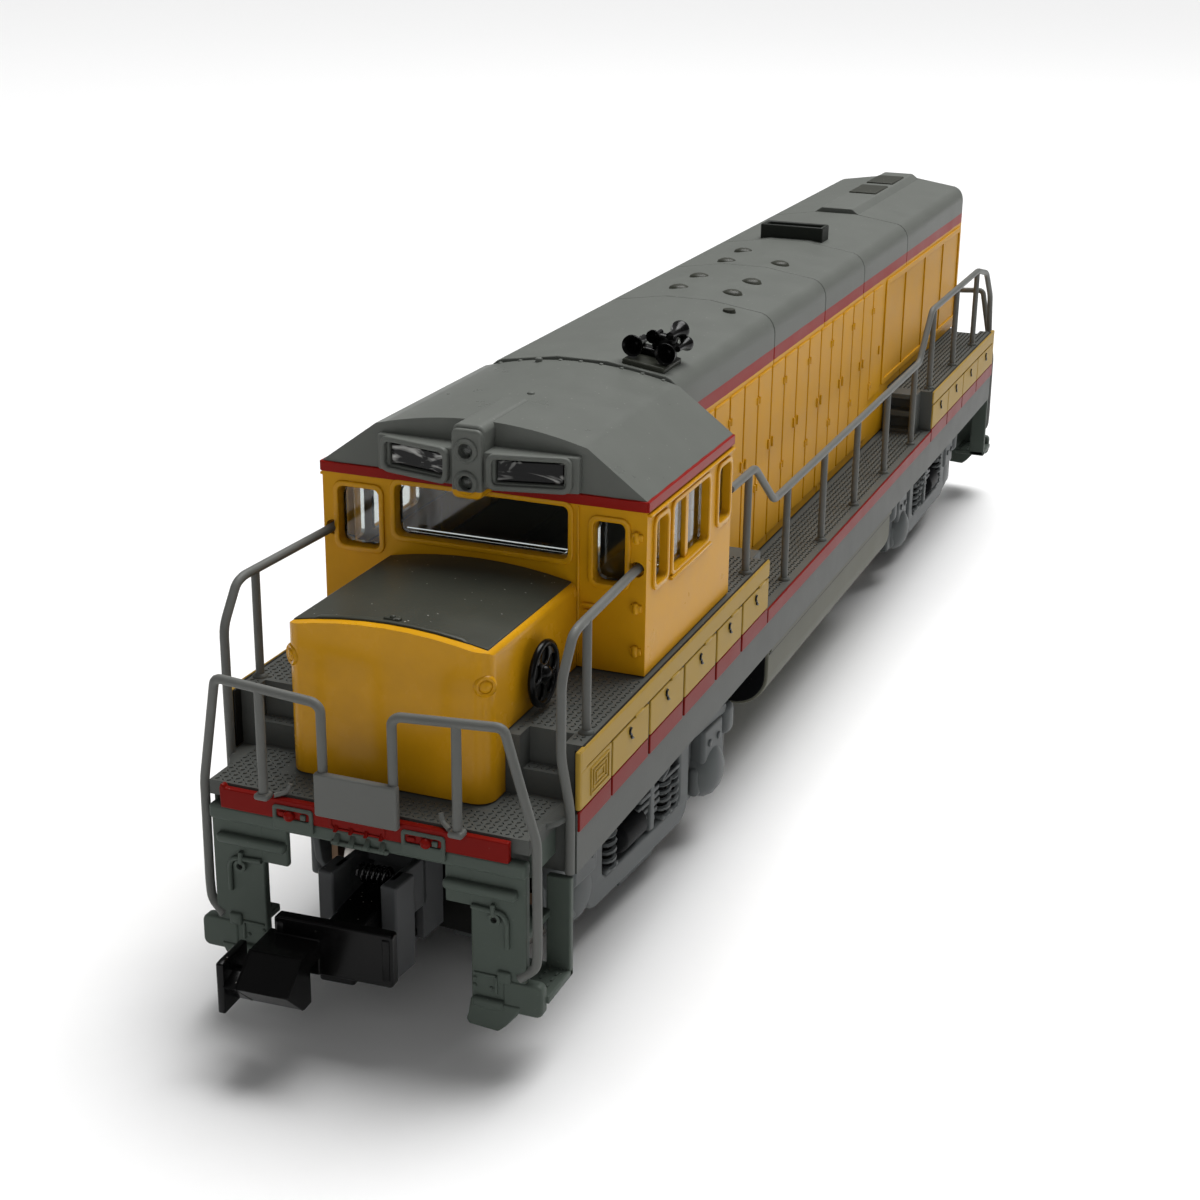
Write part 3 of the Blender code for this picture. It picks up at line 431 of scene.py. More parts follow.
class Surface(Nodes):
    """A new material: its shader, and the place on the object that its textures follow."""

    def __init__(self, name):
        self.material = bpy.data.materials.new(name)
        self.material.use_nodes = True
        super().__init__(self.material.node_tree)
        self.shader = self.tree.nodes["Principled BSDF"]
        self.place = self.node("ShaderNodeTexCoord").outputs["Object"]

    def texture(self, kind, **values):
        made = self.node(f"ShaderNodeTex{kind}", **values)
        self.link(self.place, made.inputs["Vector"])
        return made

    def feed(self, source, name):
        self.link(source, self.shader.inputs[name])

    def fix(self, **values):
        """Sets sockets that are the same all over the surface."""
        for name, value in values.items():
            self.shader.inputs[name.replace("_", " ")].default_value = value


DUST = (0.45, 0.44, 0.40)
SPECK_SIZE = 0.07
RIPPLE = 0.0001  # metres: how far a printed band's edge wanders
BAND_SHARPNESS = 40.0  # per millimetre


def finish_material(
    name, colour, rough=0.42, metal=0.0, mottle=0.10, grain=0.12, bands=(), dust=0.25, coat=0.0, specular=0.11
):
    """Moulded or painted surface: slight cloudiness, a fine grain, uneven gloss and specks of dust on top.

    Bands are (height in mm, colour): the colour from that height up, with a slightly uneven printed edge.
    """
    n = Surface(name)
    cloud = n.texture("Noise", Scale=420.0, Detail=4.0, Roughness=0.6)
    fine = n.texture("Noise", Scale=7000.0, Detail=2.0, Roughness=0.5)
    speck = n.texture("Voronoi", Scale=1500.0, Randomness=1.0)
    base = colour
    if bands:
        parts = n.node("ShaderNodeSeparateXYZ")
        n.link(n.place, parts.inputs[0])
        ripple = n.math("MULTIPLY_ADD", cloud.outputs["Fac"], RIPPLE, -RIPPLE / 2)
        height = n.math("ADD", parts.outputs["Z"], ripple)
        for level, shade in bands:
            ramp = n.math("MULTIPLY_ADD", height, BAND_SHARPNESS / MM, -level * BAND_SHARPNESS + 0.5)
            above = n.math("MAXIMUM", n.math("SMOOTH_MIN", ramp, 1.0, 0.1), 0.0)
            base = n.mix(above, base, shade)
    tone = n.mix(cloud.outputs["Fac"], (1 - mottle,) * 3, (1 + mottle,) * 3)
    base = n.mix(1.0, base, tone, "MULTIPLY")
    if dust > 0:
        up = n.node("ShaderNodeSeparateXYZ")
        n.link(n.node("ShaderNodeNewGeometry").outputs["Normal"], up.inputs[0])
        spots = n.math("LESS_THAN", speck.outputs["Distance"], SPECK_SIZE)
        mask = n.math("MULTIPLY", spots, n.math("MAXIMUM", up.outputs["Z"], 0.15))
        base = n.mix(n.math("MULTIPLY", mask, dust), base, DUST)
    n.feed(base, "Base Color")
    n.feed(n.math("MULTIPLY_ADD", cloud.outputs["Fac"], 0.16, rough - 0.08), "Roughness")
    n.fix(Metallic=metal, Specular_IOR_Level=specular, Coat_Weight=coat, Coat_Roughness=0.15)
    if grain > 0:
        bump = n.node("ShaderNodeBump", Strength=grain, Distance=0.00003)
        n.link(fine.outputs["Fac"], bump.inputs["Height"])
        n.feed(bump.outputs["Normal"], "Normal")
    return n.material


def glass_material(name, tint, rough=0.03):
    n = Surface(name)
    cloud = n.texture("Noise", Scale=500.0, Detail=2.0)
    n.feed(n.math("MULTIPLY_ADD", cloud.outputs["Fac"], 0.05, rough), "Roughness")
    n.feed(n.mix(cloud.outputs["Fac"], tint, tuple(c * 0.9 for c in tint)), "Base Color")
    n.fix(Transmission_Weight=1.0, IOR=1.45)
    return n.material


def board_material(name):
    """Opaque dark board with streaks of reflected light painted into its base colour: painted reflections."""
    n = Surface(name)
    stretch = n.node("ShaderNodeMapping", Scale=(300.0, 420.0, 1700.0))
    n.link(n.place, stretch.inputs["Vector"])
    streak = n.node("ShaderNodeTexNoise", Scale=1.0, Detail=3.0, Roughness=0.6, Distortion=0.8)
    n.link(stretch.outputs[0], streak.inputs["Vector"])
    lit = n.math("MAXIMUM", n.math("MULTIPLY_ADD", streak.outputs["Fac"], 5.0, -2.6), 0.0)
    lit = n.math("MINIMUM", lit, 1.0)
    n.feed(n.mix(lit, (0.006, 0.006, 0.006), (0.75, 0.75, 0.72)), "Base Color")
    n.feed(n.math("MULTIPLY_ADD", streak.outputs["Fac"], 0.1, 0.04), "Roughness")
    n.fix(Specular_IOR_Level=0.15)
    return n.material


YELLOW = (0.56, 0.272, 0.006)
PANEL_YELLOW = (0.34, 0.216, 0.034)
RED = (0.170, 0.006, 0.004)
BAND_RED = (0.24, 0.008, 0.005)
ROOF_GREY = (0.125, 0.132, 0.120)
# The roof grey darkened for the weak light on the nose top: painted shade. The same grey serves the hood's
# lugs and grilles and the horn's pad
NOSE_SHADED_GREY = (0.040, 0.042, 0.033)
DECK_GREY = (0.082, 0.086, 0.080)
PILOT_GREY = (0.070, 0.086, 0.073)
RAIL_GREY = (0.125, 0.128, 0.120)
TRUCK_GREY = (0.105, 0.113, 0.113)
TANK_OLIVE = (0.115, 0.115, 0.088)
BLACK = (0.0025, 0.0025, 0.0025)

hood_paint = finish_material(
    "hood_paint", YELLOW, 0.40, bands=((26.15, BAND_RED), (27.0, ROOF_GREY)), specular=0.08
)
cab_paint = finish_material(
    "cab_paint", YELLOW, 0.30, bands=((25.7, BAND_RED), (26.32, ROOF_GREY)), specular=0.08
)
lamp_paint = finish_material("lamp_paint", YELLOW, 0.38, bands=((26.2, ROOF_GREY),))
yellow = finish_material("yellow_paint", YELLOW, 0.26, mottle=0.14, coat=0.12)
panel_yellow = finish_material("panel_yellow", PANEL_YELLOW, 0.45)
red = finish_material("red_paint", RED, 0.36, specular=0.06)
roof_grey = finish_material("roof_grey", ROOF_GREY, 0.42)
nose_shaded_grey = finish_material("nose_shaded_grey", NOSE_SHADED_GREY, 0.34, dust=0.6)
stack_grey = finish_material("stack_grey", (0.018, 0.021, 0.017), 0.45)
deck_grey = finish_material("deck_grey", DECK_GREY, 0.45, grain=0.2)
pilot_grey = finish_material("pilot_grey", PILOT_GREY, 0.45)
rail_grey = finish_material("rail_grey", RAIL_GREY, 0.40)
truck_grey = finish_material("truck_grey", TRUCK_GREY, 0.40)
pocket_grey = finish_material("pocket_grey", (0.085, 0.088, 0.09), 0.36)
tank_olive = finish_material("tank_olive", TANK_OLIVE, 0.48)
gloss_black = finish_material("gloss_black", BLACK, 0.22, mottle=0.3, grain=0.05, dust=0.3, specular=0.14)
dull_black = finish_material("dull_black", (0.012, 0.012, 0.011), 0.5, mottle=0.3)
lamp_bowl = finish_material("lamp_bowl", (0.05, 0.052, 0.05), 0.25, metal=0.8, mottle=0.4, dust=0.0)
nickel = finish_material("nickel", (0.42, 0.40, 0.37), 0.30, metal=1.0, grain=0.05, dust=0.0)
brass = finish_material("brass", (0.55, 0.37, 0.12), 0.28, metal=1.0, grain=0.05, dust=0.0)
bronze = finish_material("bronze", (0.13, 0.085, 0.055), 0.42, metal=1.0, grain=0.05, dust=0.0)
steel = finish_material("steel", (0.35, 0.35, 0.36), 0.35, metal=1.0, grain=0.08, dust=0.0)
# Die-cast metal made near-black so the chassis seen through the cab windows gives the cab's dark inside:
# painted shade
cast = finish_material("cast_metal", (0.022, 0.023, 0.024), 0.55, metal=0.6, grain=0.4)
nylon = finish_material("nylon", (0.55, 0.54, 0.48), 0.45)
laminate = finish_material("laminate", (0.01, 0.08, 0.03), 0.4)
clear = glass_material("clear_plastic", (0.80, 0.83, 0.82))
board_painted_glints = board_material("board_painted_glints")
# Painted highlight: a pale strip that glows a little though it is no lamp, for the bright line along the
# windshield's bottom edge
windshield_glint = finish_material("windshield_glint", (0.75, 0.77, 0.75), 0.15, dust=0.0)
glint_shader = windshield_glint.node_tree.nodes["Principled BSDF"]
glint_shader.inputs["Emission Color"].default_value = (0.8, 0.85, 0.85, 1.0)
glint_shader.inputs["Emission Strength"].default_value = 0.65
# Steel darkened for the shade the coupler spring sits in: painted shade
spring_wire = finish_material(
    "spring_wire", (0.07, 0.07, 0.07), 0.25, metal=1.0, mottle=0.5, grain=0.05, dust=0.0
)
# Near-black for painted shade: the fuel tank's end faces and the brake cylinders
painted_shade_black = finish_material("painted_shade_black", (0.005, 0.0055, 0.006), 0.45, specular=0.05)


# ---------------------------------------------------------------- cab

PLATE = 0.8
GAP = 0.1
WINDSHIELDS = (((-5.1, 5.15), (22.55, 25.5)), ((6.6, 8.4), (21.5, 24.95)), ((-8.6, -6.1), (21.6, 25.0)))
SIDE_WINDOWS = (((37.9, 39.7), (21.3, 24.9)), ((31.0, 36.9), (21.2, 25.0)), ((27.2, 29.2), (21.6, 24.9)))
LAMP_Z = (28.4, 26.65)
BOARD_Y = (1.5, 5.1)
BOARD_Z = (26.75, 28.0)
BOARD_TILT = math.atan2(1.0, 4.5)
WINDOW_BORDER = 0.3
ROOF_BREAK = (6.2, 28.8)  # where the steep slope meets the arched roof
ROOF_RISE = 0.85


def window_frame(axis, face, thick, first, second, corner):
    wide, high = [(low - WINDOW_BORDER, top + WINDOW_BORDER) for low, top in (first, second)]
    outer = rounded(wide, high, corner + WINDOW_BORDER * 0.7)
    inner = rounded(first, second, corner)
    return plate(axis, face, thick, [outer, inner], 0.07, 2)


def cab_outline(inset=0.0):
    """Half cross-section of the cab: eave, steep slope and arched roof."""
    half, level = ROOF_BREAK
    roof = [(CAB_HALF - inset, EAVE_Z), (half - inset * 0.4, level)]
    for i in range(1, 9):
        part = i / 8
        roof.append((half * (1 - part), level + ROOF_RISE * (1 - (1 - part) ** 2)))
    return [(a, b - (inset if i else inset * 0.4)) for i, (a, b) in enumerate(roof)]


def make_cab():
    shell = prism("x", mirrored([(CAB_HALF, HIGH_DECK_Z + GAP)] + cab_outline()), *CAB_X, bevel=0)
    room = mirrored([(CAB_HALF - PLATE, 12.0)] + cab_outline(PLATE))
    cutters = [prism("x", room, CAB_X[0] + PLATE, CAB_X[1] - PLATE, bevel=0)]
    cutters += [prism("x", rounded(y, z, 0.34), 39, 41.6, bevel=0) for y, z in WINDSHIELDS]
    cutters += [prism("y", rounded(x, z, 0.35), -11, 11, bevel=0) for x, z in SIDE_WINDOWS]
    cutters += [box((25, 28), (-5.4, 5.4), (12, 21.8), 0), box((39, 41.2), (-4.95, 4.95), (12, 20.8), 0)]
    cutters += [rod("x", (side * 9.05, 22.5), 0.42, 39.5, 44, 16, 0) for side in SIDES]
    cutters += [box((39, 44), span(side, *BOARD_Y), BOARD_Z, 0) for side in SIDES]
    shell = soften(carve(shell, *cutters), 0.12)

    cab = Piece("cab_shell", "body", "cab", slot="yellow_shell")
    cab.add(cab_paint, shell)
    # Front frames, the door's edge, hinges and latch
    for y, z in WINDSHIELDS:
        cab.add(yellow, window_frame("x", CAB_X[1] - 0.06, 0.2, y, z, 0.34))
    cab.add(yellow, box((40.85, 41.0), (5.66, 5.8), (16.6, 25.6), 0.05))
    for z in (24.3, 20.35, 17.9):
        cab.add(
            yellow,
            rod("z", (41.0, 9.05), 0.17, z - 0.32, z + 0.32, 12),
            box((40.85, 41.04), (8.75, 9.4), (z - 0.2, z + 0.2), 0.05),
        )
    cab.add(
        yellow, box((40.85, 41.12), (6.0, 6.75), (20.1, 20.28), 0.05),
        box((40.85, 41.12), (6.1, 6.6), (19.75, 19.9), 0.05),
    )
    # Side frames, sills, centre post and drip rail
    for side in SIDES:
        face = side * (CAB_HALF - 0.06)
        for x, z in SIDE_WINDOWS:
            cab.add(yellow, window_frame("y", face, side * 0.2, x, z, 0.35))
        y = span(side, CAB_HALF - 0.55, CAB_HALF - 0.1)
        cab.add(yellow, box((33.95, 34.45), y, (21.1, 25.1), 0.06))
        y = span(side, CAB_HALF - 0.05, CAB_HALF + 0.22)
        cab.add(yellow, box((30.6, 37.3), y, (20.8, 21.0), 0.06), box((26.7, 40.8), y, (25.42, 25.6), 0.07))
        cab.add(
            cab_paint, box((26.6, 40.95), span(side, CAB_HALF - 0.05, CAB_HALF + 0.12), (25.72, 26.3), 0.05)
        )
    cab.add(cab_paint, box((40.85, 41.02), (-9.62, 9.62), (25.72, 26.3), 0.05))
    # Roof details: fixing pins and a row of notches along the back edge
    for spot in ((34.7, 0.3), (27.1, -2.5)):
        cab.add(roof_grey, rod("z", spot, 0.22, 29.3, 29.75, 12, 0.06))
    for k in range(-4, 5):
        z = 29.62 - ROOF_RISE * (k * 1.3 / ROOF_BREAK[0]) ** 2
        cab.add(roof_grey, box((26.52, 26.78), (k * 1.3 - 0.11, k * 1.3 + 0.11), (z - 0.1, z + 0.09), 0.04))

    # Number-board housing: a shallow V with a column for the lamps
    outline = [(40.5, -5.9), (41.3, -5.9), (42.3, -1.4), (42.3, 1.4), (41.3, 5.9), (40.5, 5.9)]
    housing = prism("z", outline, 26.35, 28.35, 0)
    housing = soften(
        carve(housing, *[box((39, 44), span(side, *BOARD_Y), BOARD_Z, 0) for side in SIDES]), 0.1
    )
    cab.add(roof_grey, housing)
    for side in SIDES:
        place = Matrix.Scale(
            side, 4, (0, 1, 0)
        ) @ Matrix.Translation((42.3, 1.4, 0)) @ Matrix.Rotation(BOARD_TILT, 4, "Z")
        run = (-0.02, 3.95)
        outer = rounded((run[0] - 0.32, run[1] + 0.32), (BOARD_Z[0] - 0.38, BOARD_Z[1] + 0.38), 0.5)
        inner = rounded(run, (BOARD_Z[0] - 0.08, BOARD_Z[1] + 0.08), 0.28)
        cab.add(roof_grey, plate("x", -0.08, 0.36, [outer, inner], 0.1, 3), matrix=place)
    column = prism("x", rounded((-0.88, 0.88), (25.75, 29.55), 0.35, steps=5), 40.5, 42.6, 0.14, 3)
    column = carve(column, *[rod("x", (0, z), 0.42, 42.0, 44, 24, 0) for z in LAMP_Z])
    cab.add(lamp_paint, column)
    cab.add(
        roof_grey,
        prism("x", rounded((-0.93, 0.93), (27.9, 29.75), 0.42, (0, 0, 1, 1), 6), 36.0, 42.35, 0.18, 3),
    )
    for z in LAMP_Z:
        ring = [(0.0, 0.41), (0.0, 0.64), (0.14, 0.67), (0.24, 0.62), (0.28, 0.53), (0.2, 0.41)]
        cab.add(lamp_paint, turned_ring("x", (42.52, 0, z), ring))
    cab.finish()

    lights = Piece("front_lights", "body", "front_light_lens", slot="lens_plastic")
    for side in SIDES:
        y = (BOARD_Y[0] + 0.06, BOARD_Y[1] - 0.06)
        outline = [(39.9, side * y[0]), (42.12, side * y[0]), (41.32, side * y[1]), (39.9, side * y[1])]
        lights.add(board_painted_glints, prism("z", outline, BOARD_Z[0] + 0.06, BOARD_Z[1] - 0.06, 0.08))
    lights.add(dull_black, box((39.3, 39.9), (-5.2, 5.2), (26.4, 27.9)))
    for z in LAMP_Z:
        lights.add(
            lamp_bowl, lathe("x", (42.02, 0, z), [(0, 0), (0, 0.41), (0.3, 0.41), (0.1, 0.2), (0.06, 0)], 24)
        )
        lights.add(clear, dome("x", (42.34, 0, z), 0.37, 0.2))
    lights.finish()


def turned_ring(axis, origin, section, sides=36):
    """A solid ring of revolution from a closed (along, radius) section."""
    bm = bmesh.new()
    rings = [
        [bm.verts.new((a, b, along)) for a, b in circle((0, 0), radius, sides)] for along, radius in section
    ]
    for low, high in zip(rings, rings[1:] + rings[:1]):
        for i in range(sides):
            j = (i + 1) % sides
            bm.faces.new((low[i], low[j], high[j], high[i]))
    bm.transform(Matrix.Translation(origin) @ axes_matrix(axis))
    bmesh.ops.recalc_face_normals(bm, faces=bm.faces)
    return bm


# ---------------------------------------------------------------- nose


NOSE_ROUND = 0.45


def nose_outline(inset=0.0):
    """Half cross-section of the nose: rounded shoulder and arched top."""
    y = NOSE_HALF - inset
    arch = [(y, 20.85)]
    for degrees in (22, 45, 68, 90):
        t = math.radians(degrees)
        arch.append((y - NOSE_ROUND + NOSE_ROUND * math.cos(t), 20.9 + NOSE_ROUND * math.sin(t)))
    for part in (0.25, 0.5, 0.75, 1.0):
        arch.append(((y - NOSE_ROUND) * (1 - part), 21.35 + 0.55 * (1 - (1 - part) ** 2)))
    return [(a, b - inset) for a, b in arch]


def make_nose():
    base = DECK_Z + GAP
    shell = prism("x", mirrored([(NOSE_HALF, base)] + nose_outline()), *NOSE_X, bevel=0)
    plan = prism(
        "z", rounded((38, NOSE_X[1]), (-NOSE_HALF, NOSE_HALF), 1.0, (0, 1, 1, 0), 8), 10, 24, bevel=0
    )
    corner = carve(box((36, 54), (-8, 8), (11, 23), 0), plan)
    room = prism(
        "x", mirrored([(NOSE_HALF - PLATE, 12.0)] + nose_outline(PLATE)), 40, NOSE_X[1] - PLATE, bevel=0
    )
    step = box((40, FRONT_BOX[1] + GAP), (-8, 8), (12, HIGH_DECK_Z + GAP), 0)
    shell = soften(carve(shell, corner, room, step), 0.14, 3, 30)
    nose = Piece("nose_hood", "body", "short_hood", slot="yellow_shell")
    nose.add(yellow, shell)
    # Roof panel in the darker grey that paints in shade, a little short of the front edge, with the hatch
    # latch
    top = [(y, z + 0.07) for y, z in nose_outline()[3:]]
    low = [(y, z - 0.12) for y, z in nose_outline()[3:]]
    section = mirrored(top) + [(y, z) for y, z in reversed(mirrored(low))]
    nose.add(
        nose_shaded_grey,
        prism("x", section, 41.05, 51.75, 0.05),
        prism(
            "x", mirrored([(5.0, 21.3)] + [(y, z + 0.12) for y, z in nose_outline()[5:]]), 51.35, 51.8, 0.08
        ),
        box((51.1, 51.5), (-0.45, 0.45), (21.9, 22.12), 0.06),
        rod("z", (51.3, 0), 0.16, 21.95, 22.22, 12),
    )
    # Class lights: a small dome in a collar with a tapered back
    for side in SIDES:
        spot = (52.0, side * 5.35, 19.55)
        turn = Matrix.Translation(spot) @ Matrix.Rotation(math.radians(38 * side), 4, "Z")
        nose.add(
            yellow,
            turned_ring(
                "x", (0, 0, 0), [(-0.4, 0.35), (-0.4, 0.62), (0.1, 0.6), (0.2, 0.5), (0.16, 0.36)], 24
            ),
            matrix=turn,
        )
        nose.add(
            yellow, lathe("x", (0, 0, 0), [(-2.1, 0), (-2.0, 0.12), (-0.3, 0.5), (-0.1, 0.4), (-0.1, 0)], 20),
            matrix=turn,
        )
        nose.add(yellow, dome("x", (-0.02, 0, 0), 0.4, 0.3), matrix=turn)
    nose.finish()

    wheel = Piece("hand_brake", "body", "brake_wheel", slot="black_plastic")
    rim = [
        (0.25 * math.sin(t) * 0.8, 1.6 + 0.2 * math.cos(t)) for t in [2 * math.pi * i / 10 for i in range(10)]
    ]
    wheel.add(gloss_black, turned_ring("y", (47.0, 6.35, 18.5), rim, 48))
    gaps = []
    for k in range(5):
        t = math.radians(90 + 72 * k)
        gaps.append(circle((47.0 + 1.0 * math.cos(t), 18.5 + 1.0 * math.sin(t)), 0.44, 20))
    wheel.add(gloss_black, plate("y", 6.25, 0.2, [circle((47.0, 18.5), 1.6, 48)] + gaps, 0.05))
    wheel.add(dull_black, rod("y", (47.0, 18.5), 1.5, 6.12, 6.26, 40, 0.03))
    wheel.add(
        gloss_black,
        lathe(
            "y", (47.0, 5.0, 18.5),
            [(0, 0), (0, 0.3), (1.2, 0.3), (1.25, 0.5), (1.6, 0.42), (1.75, 0.2), (1.78, 0)], 20,
        ),
    )
    wheel.finish()


# ---------------------------------------------------------------- engine hood

HOOD_SEAMS = (-52.0, -30.0, -16.0, -5.0, 7.5, 26.45)
SHOULDER = 1.3
SHOULDER_Z = 27.9
REAR_LAMP_Z = (26.9, 24.9)
DOORS = 16
DOOR_PITCH = 3.0


def hood_outline(inset=0.0):
    """Half cross-section of the engine hood: upright side, rounded shoulder and gently sloping roof."""
    y = HOOD_HALF - inset
    side = [(y, SHOULDER_Z)]
    for i in range(1, 7):
        t = math.pi / 2 * i / 6
        side.append((y - SHOULDER + SHOULDER * math.cos(t), SHOULDER_Z + (1.4 - inset) * math.sin(t)))
    return side + [(1.6, 29.8 - inset)]


def make_hood():
    hood = Piece("engine_hood", "body", "long_hood", slot="yellow_shell")
    base = DECK_Z + GAP
    plan = prism(
        "z", rounded((HOOD_X[0], 40), (-HOOD_HALF, HOOD_HALF), 0.7, (1, 0, 0, 1), 6), 10, 33, bevel=0
    )
    for start, stop in zip(HOOD_SEAMS, HOOD_SEAMS[1:]):
        part = prism("x", mirrored([(HOOD_HALF, base)] + hood_outline()), start + 0.03, stop - 0.03, bevel=0)
        back = start + PLATE if start == HOOD_SEAMS[0] else start - 1
        room = prism(
            "x", mirrored([(HOOD_HALF - PLATE, 12.0)] + hood_outline(PLATE)), back, stop + 1, bevel=0
        )
        cutters = [room, box((-55, REAR_BOX[1] + GAP), (-8, 8), (12, HIGH_DECK_Z + GAP), 0)]
        cutters.append(box((FRONT_BOX[0] - GAP, 30), (-8, 8), (12, HIGH_DECK_Z + GAP), 0))
        if start == HOOD_SEAMS[0]:
            cutters.append(carve(box((-54, -20), (-8, 8), (11, 32), 0), plan))
            cutters += [rod("x", (0.0, z), 0.75, -53, -50, 20, 0) for z in REAR_LAMP_Z]
            cutters += [box((-53, -50), span(side, 1.9, 4.9), (25.2, 26.6), 0) for side in SIDES]
        hood.add(hood_paint, soften(carve(part, *cutters), 0.1, 2, 32))
    # Radiator crown and exhaust stack
    hood.add(
        roof_grey, prism("x", [(-2.5, 29.3), (2.5, 29.3), (1.3, 30.2), (-1.3, 30.2)], -51.6, -30.0, 0.12)
    )
    stack = carve(
        box((-18.6, -16.7), (-2.5, 2.5), (29.0, 30.8), 0), box((-18.3, -17.0), (-2.2, 2.2), (30.35, 32), 0)
    )
    hood.add(stack_grey, soften(stack, 0.12, 3))
    for x, y in (
        (4.2, -1.8), (4.4, 2.1), (-0.1, -1.8), (0.2, 2.15), (-6.3, -1.8), (-6.9, 2.05), (-10.6, -1.9)
    ):
        hood.add(
            nose_shaded_grey, lathe("z", (x, y, 29.5), [(0, 0), (0, 0.8), (0.3, 0.66), (0.42, 0.4), (0.45, 0)], 18)
        )
    for x, y in ((6.75, 1.3), (9.25, 3.5)):
        hood.add(nose_shaded_grey, lathe("z", (x, y, 29.35), [(0, 0), (0, 0.5), (0.34, 0.4), (0.42, 0)], 14))
    for x in (-40.5, -46.5):
        hood.add(nose_shaded_grey, soften(box((x - 2.2, x + 2.2), (-1.2, 1.2), (30.1, 30.32), 0), 0.08))
    # Side doors with latches and hinges, then the smooth rear panel in its frame
    for side in SIDES:
        face, out = side * (HOOD_HALF - 0.04), side * 0.14
        edge = 26.0
        for k in range(DOORS):
            above_box = edge - DOOR_PITCH > 19.2 or edge - DOOR_PITCH < -21.5
            low = HIGH_DECK_Z + 0.5 if above_box else base + 0.7
            door = rounded((edge - 2.86, edge - 0.1), (low, 25.85), 0.18, steps=3)
            hood.add(hood_paint, plate("y", face, out, [door], 0.05))
            y = span(side, HOOD_HALF, HOOD_HALF + 0.22)
            latch_x = edge - (2.55 if k % 2 else 0.45)
            hood.add(yellow, box((latch_x - 0.1, latch_x + 0.1), y, (20.2, 20.9), 0.04))
            for z in (18.2, 24.2):
                hinge_x = edge - (0.2 if k % 2 else 2.75)
                hood.add(
                    yellow, rod("z", (hinge_x, side * (HOOD_HALF + 0.1)), 0.12, z - 0.25, z + 0.25, 8, 0.03)
                )
            edge -= DOOR_PITCH
        loops = [rounded((-50.9, -23.2), (17.2, 25.9), 0.4), rounded((-50.4, -23.7), (17.7, 25.4), 0.3)]
        hood.add(hood_paint, plate("y", face, side * 0.16, loops, 0.05))
        for x in (-30.0, -37.0, -44.0):
            hood.add(
                hood_paint,
                box((x - 0.12, x + 0.12), span(side, HOOD_HALF - 0.04, HOOD_HALF + 0.1), (17.6, 25.5), 0.04),
            )
    # Back wall: the door's frame and latch
    loops = [rounded((-4.6, 4.6), (16.9, 24.2), 0.35), rounded((-4.2, 4.2), (17.3, 23.8), 0.25)]
    hood.add(
        hood_paint, plate("x", -51.96, -0.16, loops, 0.05),
        box((-52.2, -51.9), (-0.08, 0.08), (17.2, 23.9), 0.04),
    )
    hood.finish()

    lights = Piece("rear_lights", "body", "rear_light_lens", slot="lens_plastic")
    for side in SIDES:
        lights.add(board_painted_glints, box((-52.02, -50.8), span(side, 2.0, 4.8), (25.3, 26.5), 0.1))
    for z in REAR_LAMP_Z:
        lights.add(
            roof_grey,
            turned_ring(
                "x", (-52.0, 0, z), [(0.2, 0.62), (0.2, 0.86), (-0.16, 0.86), (-0.24, 0.74), (-0.16, 0.62)]
            ),
        )
        lights.add(
            lamp_bowl,
            lathe("x", (-51.6, 0, z), [(0, 0), (0, 0.6), (-0.14, 0.6), (-0.07, 0.3), (-0.05, 0)], 24),
        )
        lights.add(clear, dome("x", (-51.8, 0, z), 0.52, -0.3))
    lights.add(dull_black, box((-51.2, -50.6), (-4.8, 4.8), (24.4, 27.3)))
    lights.finish()

    # Five-bell horn on a pad along the slope of the roof, behind the cab
    horn = Piece("horn_cluster", "body", "horn", slot="black_plastic")
    horn.add(nose_shaded_grey, box((23.0, 26.1), (-1.35, 1.35), (-0.1, 0.3), 0.12, 3))
    horn.add(
        gloss_black, box((23.3, 24.4), (-1.15, 1.15), (0.25, 0.75), 0.2, 3),
        box((23.4, 24.2), (-0.35, 1.1), (0.7, 1.7), 0.25, 3),
    )
    bells = [
        (25.55, -1.05, 1.0, 1, 0.66, 2.1), (25.55, 1.05, 1.0, 1, 0.66, 2.1), (24.9, -0.1, 1.65, 1, 0.42, 1.5)
    ]
    bells += [(22.4, 0.75, 1.75, -1, 0.6, 1.9), (22.6, 1.35, 1.1, -1, 0.45, 1.7)]
    for x, y, z, way, mouth, reach in bells:
        bell = [
            (-reach, 0), (-reach + 0.05, 0.4), (-reach * 0.6, 0.42), (-reach * 0.35, 0.55), (-0.25, 0.86),
            (-0.06, 1.0), (0.03, 0.97),
        ]
        bell += [(-0.02, 0.86), (-0.3, 0.6), (-reach * 0.4, 0.3), (-reach * 0.45, 0)]
        horn.add(gloss_black, lathe("x", (x, y, z), [(way * a, r * mouth) for a, r in bell], 32))
    horn.finish(Matrix.Translation((0.0, 3.7, 29.5)) @ Matrix.Rotation(-math.atan2(0.5, 3.3), 4, "X"))


# ---------------------------------------------------------------- decks, sills and boxes


TREAD_STEP = 0.34
LOZENGE = (0.165, 0.06)
BAND_Z = (12.12, 13.22)
DOOR_Z = (13.26, 15.25)
LATCH_Z = 14.6
# Battery-box doors: low x, high x and the latch's x; the rear boxes' latches are in the middle
FRONT_DOORS = (
    (41.45, 46.75, 44.2),
    (35.85, 41.15, 38.6),
    (30.15, 35.55, 32.9),
    (25.25, 29.85, 27.6),
    (19.8, 24.95, 22.4),
)
REAR_DOORS = ((-51.05, -44.2), (-44.0, -38.1), (-37.9, -32.1), (-31.9, -26.1))
POST_BASE = [(-0.05, 0), (-0.05, 0.44), (0.06, 0.42), (0.2, 0.3), (0.22, 0)]
BOX_POSTS = (22.6, -27.2, -36.0, -44.3, 48.7)


